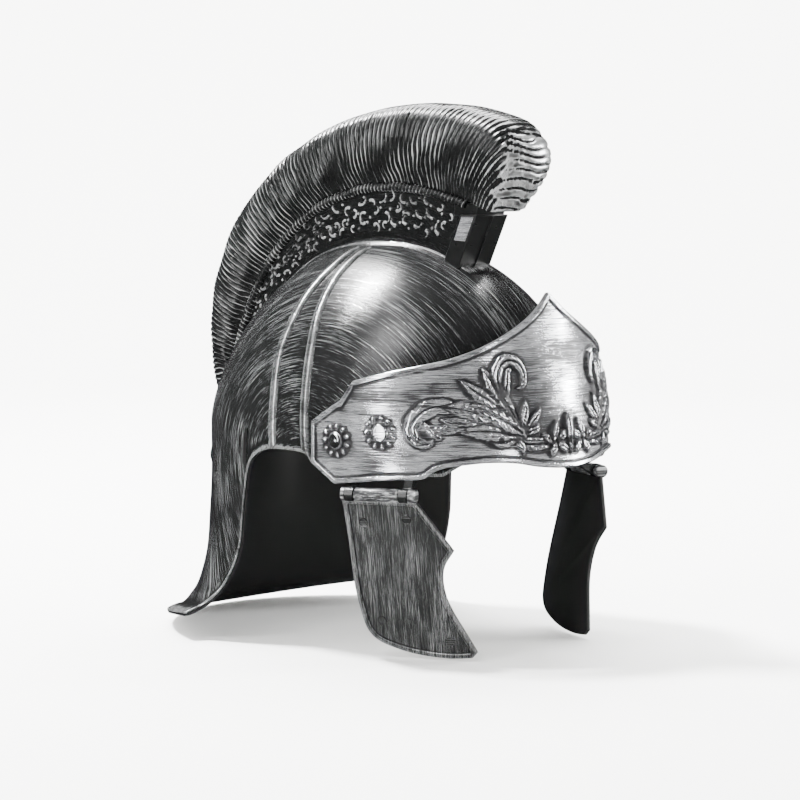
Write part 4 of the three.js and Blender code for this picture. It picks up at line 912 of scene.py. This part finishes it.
# %% Guard outline
hinge = np.array([-97.0, -75.0, equator - 30.5])
toe, tilt = math.radians(24), math.radians(15)
ahead = np.array([math.sin(toe), -math.cos(toe), 0])
inward = np.array([math.cos(toe), math.sin(toe), 0])
down = inward * math.sin(tilt) + np.array([0, 0, -math.cos(tilt)])
outward = -np.cross(ahead, down)
guard_width, guard_length = 46, 101
guard_along = [-0.5, 0.48, 0.94, 0.8, 0.765, 0.79, 0.86, 0.96, 1.15, 1.08, 0.83, 0.57, 0.3, 0.06, -0.14,
               -0.27, -0.35, -0.43, -0.46]
guard_down = [0.025, 0.025, 0.33, 0.43, 0.52, 0.62, 0.71, 0.8, 0.965, 1, 1.01, 1.006, 0.99, 0.962, 0.925,
              0.875, 0.79, 0.573, 0.27]
guard_corners = [0, 1, 2, 8, 9]


def guard_outline(step=1.1):
    p = np.stack([np.array(guard_along) * guard_width, np.array(guard_down) * guard_length], -1)
    p = np.vstack([p, p[:1]])
    rows = np.arange(len(p))
    at = np.linspace(0, len(p) - 1, 1500)
    corners = guard_corners + [len(p) - 1]
    line = np.stack([curve_through(rows, p[:, k], at, corners) for k in range(2)], -1)
    return walk(line, step)[:-1]


def drawn_in(p, distance):
    """The closed outline moved inwards by a distance."""
    before, after = np.roll(p, 1, 0), np.roll(p, -1, 0)
    arrive = (p - before) / np.linalg.norm(p - before, axis=1, keepdims=True)
    leave = (after - p) / np.linalg.norm(after - p, axis=1, keepdims=True)
    side = np.stack([-(arrive[:, 1] + leave[:, 1]), arrive[:, 0] + leave[:, 0]], -1)
    side /= np.linalg.norm(side, axis=1, keepdims=True)
    square = np.stack([-arrive[:, 1], arrive[:, 0]], -1)
    moved = p + side * (distance / np.maximum(0.6, (side * square).sum(1)))[:, None]
    if distance < 1:
        return moved
    run_ = after - p
    length = (run_**2).sum(1)
    share = np.clip(((moved[:, None] - p[None]) * run_[None]).sum(-1) / length[None], 0, 1)
    nearest = np.linalg.norm(moved[:, None] - (p[None] + share[..., None] * run_[None]), axis=-1).min(1)
    good = np.flatnonzero(nearest > 0.95 * distance)
    count_ = len(p)
    gap_ = np.abs(np.arange(count_)[:, None] - good[None])
    return moved[good[np.argmin(np.minimum(gap_, count_ - gap_), axis=1)]]


def hang(flat, lift):
    """Points of the guard's plane stood up under the hinge, and lifted outwards."""
    flat = np.asarray(flat, float)
    return hinge + flat[:, :1] * ahead + flat[:, 1:2] * down + lift * outward


guard_line = guard_outline()
print("guard outline has", len(guard_line), "points")

# %% Guard mesh
# Each step is: how far in from the edge, how high, how worn.
rim_steps = [(0.5, -1.0, -9), (0.15, -0.85, -9), (0, -0.5, -9), (0, 1.2, -0.2), (0.15, 1.6, 0.2),
             (0.5, 1.85, 0.9), (1.0, 1.92, 0.8), (1.8, 1.92, 0.2), (2.4, 1.92, 0.1), (2.9, 1.8, 0.5),
             (3.2, 1.5, -0.5), (3.4, 1.05, -0.9), (3.8, 0.98, 0.0)]


def mirror(points):
    return np.asarray(points) * [-1, 1, 1]


def guard(side, sign):
    rings, stroke, wear = [], [], []
    for distance, lift, worn in rim_steps:
        flat = drawn_in(guard_line, distance)
        rings.append(hang(flat, lift))
        stroke.append(flat[:, ::-1])
        wear.append(np.full(len(flat), float(worn)))
    m = len(guard_line)
    points = np.concatenate(rings)
    faces = [list(f) for f in grid_faces(len(rim_steps), m, 0, wrap=True)]
    last = (len(rim_steps) - 1) * m
    faces.append([last + k for k in range(m)])
    faces.append(list(range(m))[::-1])
    if sign > 0:
        points = mirror(points)
    probe = faces[-2]
    a, b, c = points[probe[0]], points[probe[m // 3]], points[probe[2 * m // 3]]
    out_dir = outward * ([-1, 1, 1] if sign > 0 else [1, 1, 1])
    if np.dot(np.cross(b - a, c - a), out_dir) < 0:
        faces = [f[::-1] for f in faces]
    return make_piece(f"cheek_guard_plate_{side}", points, faces, f"cheek_guard_{side}",
                      [f"cheek_guard_{side}"], np.concatenate(stroke), np.concatenate(wear), sharp=50)


guard("right", -1)
guard("left", 1)

# %% [markdown]
# The hinge is a round barrel on the guard, cut away where two clips of the skull hold its pin. The
# clips are part of the skull's moulding and reach out to the pin from under the visor.

# %% Round bars
def bar(name, start, end, profile, body, sides=28, sign=-1, wear=0.0, nodes=()):
    """A turned bar between two points. The profile lists (share of length, radius)."""
    start, end = np.asarray(start, float), np.asarray(end, float)
    if sign > 0:
        start, end = mirror(start), mirror(end)
    axis = (end - start) / np.linalg.norm(end - start)
    side = np.cross(axis, [0, 0, 1.0])
    if np.linalg.norm(side) < 0.1:
        side = np.cross(axis, [0, 1.0, 0])
    side /= np.linalg.norm(side)
    third = np.cross(axis, side)
    spin = np.linspace(0, 2 * math.pi, sides + 1)[:-1]
    circle = np.cos(spin)[:, None] * side + np.sin(spin)[:, None] * third
    points = np.concatenate([start + (end - start) * s + circle * max(r, 0.05) for s, r in profile])
    faces = [list(f) for f in grid_faces(len(profile), sides, 0, wrap=True)]
    faces += [list(range(sides))[::-1], [(len(profile) - 1) * sides + k for k in range(sides)]]
    strokes = [(p @ axis, p[2]) for p in points]
    return make_piece(name, points, faces, body, nodes, strokes, np.full(len(points), wear), sharp=40)


def at_hinge(along, inside=0.0, up_=0.0):
    return hinge + along * ahead + inside * inward + np.array([0, 0, up_])


clip_places = [-0.39 * guard_width, 0.33 * guard_width]
room = 2.5 + 0.45
rounded = [(0, 3.2), (0.01, 3.7), (0.03, 4.0), (0.97, 4.0), (0.99, 3.7), (1, 3.2)]
spans = [(-23, clip_places[0] - room), (clip_places[0] + room, clip_places[1] - room),
         (clip_places[1] + room, 23)]
for side, sign in both_sides:
    for k, (lo, hi) in enumerate(spans):
        if hi - lo > 0.8:
            bar(f"hinge_barrel_{side}_{k}", at_hinge(lo), at_hinge(hi), rounded,
                f"cheek_guard_{side}", sign=sign, wear=0.25)
    bar(f"hinge_pin_{side}", at_hinge(-22.8), at_hinge(22.8), [(0, 2.0), (1, 2.0)],
        f"cheek_guard_{side}", sign=sign, wear=-0.4)

# %% Small ring marks on the guards
ring_profile = [(0, 3.0), (0.5, 2.95), (0.68, 2.8), (0.74, 2.6), (0.68, 2.35), (0.5, 2.15),
                (0.36, 2.0), (0.34, 0.05)]
ring_places = [(-0.24, 0.172), (0.34, 0.142), (-0.11, 0.79), (0.8, 0.9)]
for side, sign in both_sides:
    for k, (along, deep) in enumerate(ring_places):
        foot_ = hang([[along * guard_width, deep * guard_length]], 0.7)[0]
        bar(f"guard_ring_{side}_{k}", foot_, foot_ + outward, ring_profile, f"cheek_guard_{side}",
            sign=sign, wear=-0.12)

# %% Clips of the skull
def clip(name, along, sign):
    """A ring round the pin and the arm that carries it."""
    ring_r = 4.3
    round_pin = np.linspace(math.radians(100), math.radians(330), 18)
    profile = [(ring_r * math.cos(a), ring_r * math.sin(a)) for a in round_pin]
    reach = 0.0
    while True:
        p = at_hinge(along, reach)
        wide = half_width * math.sqrt(max(0, 1 - (p[1] / half_length) ** 2))
        if -p[0] < wide - 1.1 or reach > 30:
            break
        reach += 0.25
    shape = profile + [(reach, 6), (reach, 14), (reach - 3.2, 14), (ring_r * 1.6, 3.9)]
    half_w = 2.5
    points = [at_hinge(along + s * half_w, q[0], q[1]) for s in (-1, 1) for q in shape]
    m = len(shape)
    faces = [list(range(m)), [m + k for k in range(m)][::-1]]
    faces += [[k, m + k, m + (k + 1) % m, (k + 1) % m] for k in range(m)]
    points = np.array(points)
    if sign > 0:
        points = mirror(points)
        faces = [f[::-1] for f in faces]
    return make_piece(name, points, faces, "helmet", (), [(p[1], p[2]) for p in points],
                      np.full(len(points), -0.6), sharp=35)


for side, sign in both_sides:
    for k, along in enumerate(clip_places):
        clip(f"hinge_clip_{side}_{k}", along, sign)

# %% [markdown]
# ## Rivets
# A shiny pressed rivet fills the middle of each rear rosette. Its head is a low dome with a ring
# and a dimple, turned from a short profile.

# %% Rivet heads
pivot_y = -46.0
pivot_share = 22 / (visor_length - visor_lean * (equator - visor_base))
pivot_face = visor_half_width * (1 - pivot_share**visor_bulge) ** (1 / visor_bulge) + 2.0
for side, sign in both_sides:
    a = np.array([sign * (pivot_face - 14.0), pivot_y, equator])
    b = np.array([sign * (pivot_face + 1.9), pivot_y, equator])
    total = abs(b[0] - a[0])
    sunk = [(total, 2.4), (1.75, 2.4), (1.74, 4.3), (1.2, 4.45), (0.7, 4.2), (0.35, 3.5), (0.3, 3.0),
            (0.55, 2.5), (0.55, 1.9), (0.2, 1.4), (0.1, 0.8), (0.3, 0.35), (0.35, 0.05)]
    profile = [(1 - deep / total, radius_) for deep, radius_ in sunk]
    bar(f"rivet_head_{side}", a, b, profile, "helmet", sides=36, wear=0.4,
        nodes=[f"pivot_rivet_{side}"])
    boss_in = np.array([sign * 88.0, pivot_y, equator])
    boss_out = np.array([sign * (pivot_face - 5.2), pivot_y, equator])
    bar(f"pivot_spacer_{side}", boss_in, boss_out, [(0, 7), (0.97, 7), (1, 6.6)],
        "helmet", wear=-0.5)

# %% [markdown]
# ## Materials
# Black plastic that was brushed with silver paint while it was nearly dry: the paint catches on
# what stands proud, misses what lies deep, and leaves fine strokes on the open surfaces.

# %% A small language for shader maths
class Socket:
    def __init__(self, tree, link):
        self.tree, self.link = tree, link

    def math(self, operation, *others):
        node = self.tree.nodes.new("ShaderNodeMath")
        node.operation = operation
        for k, value in enumerate((self, *others)):
            if isinstance(value, Socket):
                self.tree.links.new(value.link, node.inputs[k])
            else:
                node.inputs[k].default_value = value
        return Socket(self.tree, node.outputs[0])

    def __add__(self, other):
        return self.math("ADD", other)

    def __radd__(self, other):
        return self.math("ADD", other)

    def __mul__(self, other):
        return self.math("MULTIPLY", other)

    def __rmul__(self, other):
        return self.math("MULTIPLY", other)

    def __sub__(self, other):
        return self.math("SUBTRACT", other)

    def __rsub__(self, other):
        return (self * -1.0) + other

    def limit(self):
        node = self.math("ADD", 0.0)
        node.link.node.use_clamp = True
        return node


class Shader:
    """A material's tree, with one method for every node that isn't plain maths."""

    def __init__(self, name):
        self.material = bpy.data.materials.new(name)
        self.material.use_nodes = True
        self.tree = self.material.node_tree
        self.tree.nodes.clear()
        self.output = self.tree.nodes.new("ShaderNodeOutputMaterial")

    def node(self, kind, settings=None, out=0, **inputs):
        node = self.tree.nodes.new(kind)
        for key, value in (settings or {}).items():
            setattr(node, key, value)
        for key, value in inputs.items():
            socket = node.inputs[int(key[1:])] if key[0] == "_" else node.inputs[key.replace("__", " ")]
            if isinstance(value, Socket):
                self.tree.links.new(value.link, socket)
            else:
                socket.default_value = value
        return Socket(self.tree, node.outputs[out])

    def range(self, value, low, high, to_low=0.0, to_high=1.0):
        return self.node("ShaderNodeMapRange", {"clamp": True, "interpolation_type": "SMOOTHSTEP"},
                         _0=value, _1=low, _2=high, _3=to_low, _4=to_high)

    def colours(self, factor, a, b):
        node = self.tree.nodes.new("ShaderNodeMix")
        node.data_type = "RGBA"
        self.tree.links.new(factor.link, node.inputs["Factor"])
        for slot_, value in ((6, a), (7, b)):
            if isinstance(value, Socket):
                self.tree.links.new(value.link, node.inputs[slot_])
            else:
                node.inputs[slot_].default_value = (*value, 1)
        return Socket(self.tree, node.outputs[2])

    def finish(self, bump=None, **inputs):
        shader = self.tree.nodes.new("ShaderNodeBsdfPrincipled")
        for key, value in inputs.items():
            socket = shader.inputs[key.replace("_", " ")]
            if isinstance(value, Socket):
                self.tree.links.new(value.link, socket)
            else:
                socket.default_value = value
        if bump is not None:
            height_, strength, distance = bump
            node = self.tree.nodes.new("ShaderNodeBump")
            node.inputs["Strength"].default_value = strength
            node.inputs["Distance"].default_value = distance
            self.tree.links.new(height_.link, node.inputs["Height"])
            self.tree.links.new(node.outputs[0], shader.inputs["Normal"])
        self.tree.links.new(shader.outputs[0], self.output.inputs["Surface"])
        return self.material

print("shader helpers ready")

# %% [markdown]
# One recipe makes every brushed finish. Long thin noise along the strokes gives the brush marks, a
# slower noise gives patches where the brush ran dry, and the proud edges gain paint while the
# hollows lose it; on the visor and the crest holder the hollows round the relief are darkened
# further as painted shade. A point inside the helmet carries a very low wear value and stays bare.

# %% Dry-brushed finish
def dry_brushed(name, cover, contrast, along=0.035, across=1.1, wear_gain=1.6, silver=(0.62, 0.63, 0.636),
                black=(0.008, 0.008, 0.009), patch=0.5, rough_paint=0.36, rough_black=0.34,
                       relief_depth=0.00025):
    s = Shader(name)
    stroke = s.node("ShaderNodeAttribute", {"attribute_name": "strokes"}, out=1)
    wear = s.node("ShaderNodeAttribute", {"attribute_name": "wear"}, out=2)
    long_ = s.node("ShaderNodeVectorMath", {"operation": "MULTIPLY"}, _0=stroke, _1=(along, across, 1))
    fine_ = s.node("ShaderNodeVectorMath", {"operation": "MULTIPLY"}, _0=stroke, _1=(along * 2.2,
                   across * 2.7, 1))
    slow = s.node("ShaderNodeVectorMath", {"operation": "MULTIPLY"}, _0=stroke, _1=(0.022, 0.05, 1))
    marks = s.node("ShaderNodeTexNoise", {"noise_dimensions": "2D"}, Vector=long_, Scale=1.0, Detail=5.0,
                   Roughness=0.62, Distortion=0.25)
    hairs = s.node("ShaderNodeTexNoise", {"noise_dimensions": "2D"}, Vector=fine_, Scale=1.0, Detail=3.0,
                   Roughness=0.6)
    patches = s.node("ShaderNodeTexNoise", {"noise_dimensions": "2D"}, Vector=slow, Scale=1.0,
                     Detail=3.0, Roughness=0.5)
    place = s.node("ShaderNodeTexCoord", {}, out=3)
    grain = s.node("ShaderNodeTexNoise", {"noise_dimensions": "3D"}, Vector=place, Scale=2600.0, Detail=2.0)
    inside = s.range(wear, -6.0, -3.0)
    # The per-point value adds paint where a piece stands proud; on the visor and the crest holder its negative
    # part also holds painted shade in the hollows round the relief.
    raised = (wear * wear_gain).math("MAXIMUM", -1.2).math("MINIMUM", 1.2)
    brushed = (marks - 0.5) * contrast + (hairs - 0.5) * (contrast * 0.6) + (patches - 0.5) * patch * 2.0
    total = brushed + raised * 0.55 + cover + (grain - 0.5) * 0.25
    paint = s.range(total, 0.15, 0.85) * inside
    tone = s.range(patches, 0.35, 0.65)
    painted = s.colours(tone, tuple(c * 0.8 for c in silver), silver)
    bare = s.colours(inside, (0.011, 0.011, 0.011), black)
    base_ = s.colours(paint, bare, painted)
    rough = paint * (rough_paint - rough_black) + rough_black + (marks - 0.5) * 0.16 + (1.0 - inside) * 0.12
    height_ = (marks * 0.6 + hairs * 0.4) * inside + grain * 0.12
    return s.finish(bump=(height_, 0.35, relief_depth), Base_Color=base_, Roughness=rough.limit(),
                    Metallic=paint,
                    Specular_IOR_Level=0.32)


def dress(piece, material):
    piece.data.materials.clear()
    piece.data.materials.append(material)


glossy_black = (0.0045, 0.0048, 0.0048)
dome_finish = dry_brushed("dome dry brushed", cover=-0.2, contrast=3.1, along=0.025, across=2.6,
                          wear_gain=1.8, patch=0.35,
                          black=glossy_black,
                          rough_paint=0.16, rough_black=0.2)
visor_finish = dry_brushed("visor dry brushed", cover=0.3, contrast=3.0, along=0.028, across=3.2,
                           wear_gain=2.4, patch=1.0,
                           rough_paint=0.17, silver=(0.78, 0.79, 0.82), relief_depth=0.0001)
plume_finish = dry_brushed("plume dry brushed", cover=0.15, contrast=0.55, along=0.05, across=0.35,
                           wear_gain=1.3, patch=0.25,
                           black=glossy_black, rough_black=0.25, rough_paint=0.3)
holder_finish = dry_brushed("holder dry brushed", cover=-0.25, contrast=0.7, along=0.06, across=0.5,
                            wear_gain=2.6, patch=0.3,
                            black=glossy_black, rough_black=0.26, rough_paint=0.28)
hinge_finish = dry_brushed("hinge dry brushed", cover=0.1, contrast=1.2, along=0.15, across=0.6,
                           wear_gain=1.2, patch=0.3)
guard_finish = dry_brushed("guard dry brushed", cover=-0.19, contrast=4.4, along=0.035, across=5.4,
                           wear_gain=1.8, patch=0.35,
                           black=glossy_black, rough_paint=0.26)
rivet_finish = dry_brushed("rivet silver", cover=1.1, contrast=0.4, along=0.2, across=0.2, wear_gain=0.5,
                           rough_paint=0.22)
block_finish = dry_brushed("block dry brushed", cover=-0.75, contrast=0.5, along=0.2, across=0.3,
                           wear_gain=1.2, rough_black=0.3,
                           black=glossy_black, relief_depth=0.00008)
finishes = {"block": block_finish, "hinge": hinge_finish, "dome_shell": dome_finish,
            "visor_silver": visor_finish, "plume_black": plume_finish,
            "crest_black": holder_finish, "guard_silver": guard_finish, "rivet_silver": rivet_finish}
groups = {
    "dome_shell": ("skull_shell", "hinge_clip", "pivot_spacer", "front_rib", "rear_rib"),
    "visor_silver": ("visor_plate", "block_panel"),
    "block": ("holder_front",),
    "plume_black": ("plume_ridges",),
    "crest_black": ("crest_holder", "rope_moulding", "holder_tail"),
    "guard_silver": ("cheek_guard_plate", "guard_ring"),
    "hinge": ("hinge_barrel", "hinge_pin"),
    "rivet_silver": ("rivet_head",),
}
dressed = 0
for slot_name, starts in groups.items():
    for obj in bpy.context.scene.objects:
        if obj.type == "MESH" and obj.name.startswith(starts) and obj.name not in frame["nodes"]:
            dress(obj, finishes[slot_name])
            dressed += 1
print(dressed, "pieces have a finish")

# %% [markdown]
# ## Studio
# A round pale floor bends up into a wall all round. One small bright light makes the highlight on
# the dome, strips at the sides and in front draw the bright bands down the visor, and a broad wash
# lights the floor and the wall. The metal doesn't mirror the wall, so its dark parts stay dark.

# %% Floor and back wall
def sweep():
    floor_z, flat, bend = -244.6, 1900, 900
    profile = [(0.5, floor_z), (flat, floor_z)]
    for a in np.linspace(0, math.pi / 2, 24)[1:]:
        profile.append((flat + bend * math.sin(a), floor_z + bend * (1 - math.cos(a))))
    profile.append((flat + bend, 2400))
    spin = np.linspace(0, 2 * math.pi, 97)[:-1]
    points = [(d * math.cos(a), d * math.sin(a), h) for d, h in profile for a in spin]
    mesh = bpy.data.meshes.new("studio_sweep")
    faces = grid_faces(len(profile), len(spin), 0, wrap=True).tolist()
    faces.append(list(range(len(spin)))[::-1])
    mesh.from_pydata((np.array(points) * MM).tolist(), [], faces)
    mesh.shade_smooth()
    obj = bpy.data.objects.new("studio_sweep", mesh)
    bpy.context.scene.collection.objects.link(obj)
    obj.visible_glossy = False
    pale = Shader("pale sweep")
    obj.data.materials.append(pale.finish(Base_Color=(0.86, 0.86, 0.85, 1), Roughness=0.9))
    return obj


sweep()

# %% Lights and camera
from mathutils import Vector


def aim(obj, target):
    obj.rotation_euler = (Vector(target) - obj.location).to_track_quat("-Z", "Y").to_euler()


def softbox(name, place, target, width, height_, power):
    light = bpy.data.lights.new(name, "AREA")
    light.shape = "RECTANGLE"
    light.size, light.size_y, light.energy = width, height_, power
    obj = bpy.data.objects.new(name, light)
    obj.location = place
    aim(obj, target)
    bpy.context.scene.collection.objects.link(obj)
    return obj


middle_of_part = (0, -0.004, -0.099)
softbox("crown_light", (-0.3, 0.72, 1.55), middle_of_part, 0.3, 0.3, 210)
softbox("upper_left", (-1.2, 0.0, 1.3), middle_of_part, 0.5, 0.5, 18)
softbox("left_fill", (-1.95, -0.1, 0.2), middle_of_part, 0.36, 1.3, 30)
softbox("face_strip", (0.05, -1.9, 0.3), middle_of_part, 0.14, 1.4, 16)
softbox("right_strip", (1.55, -1.1, 0.25), middle_of_part, 0.2, 1.4, 52)
softbox("back_wash", (0.9, 0.9, 1.9), (1.3, 1.3, 0.0), 2.0, 1.2, 320)
world = bpy.data.worlds.new("studio air")
world.use_nodes = True
world.node_tree.nodes["Background"].inputs[0].default_value = (1, 1, 1, 1)
world.node_tree.nodes["Background"].inputs[1].default_value = 0.03
bpy.context.scene.world = world

camera = bpy.data.objects.new("photo_camera", bpy.data.cameras.new("photo_camera"))
camera.data.lens, camera.data.sensor_width = 126, 36
th, el = math.radians(48), math.radians(5)
away = Vector((math.cos(el) * math.sin(th), math.cos(el) * math.cos(th), -math.sin(el)))
camera.location = Vector(middle_of_part) - away * 1.75
aim(camera, middle_of_part)
bpy.context.scene.collection.objects.link(camera)
bpy.context.scene.camera = camera
print("camera at", [round(c, 4) for c in camera.location])
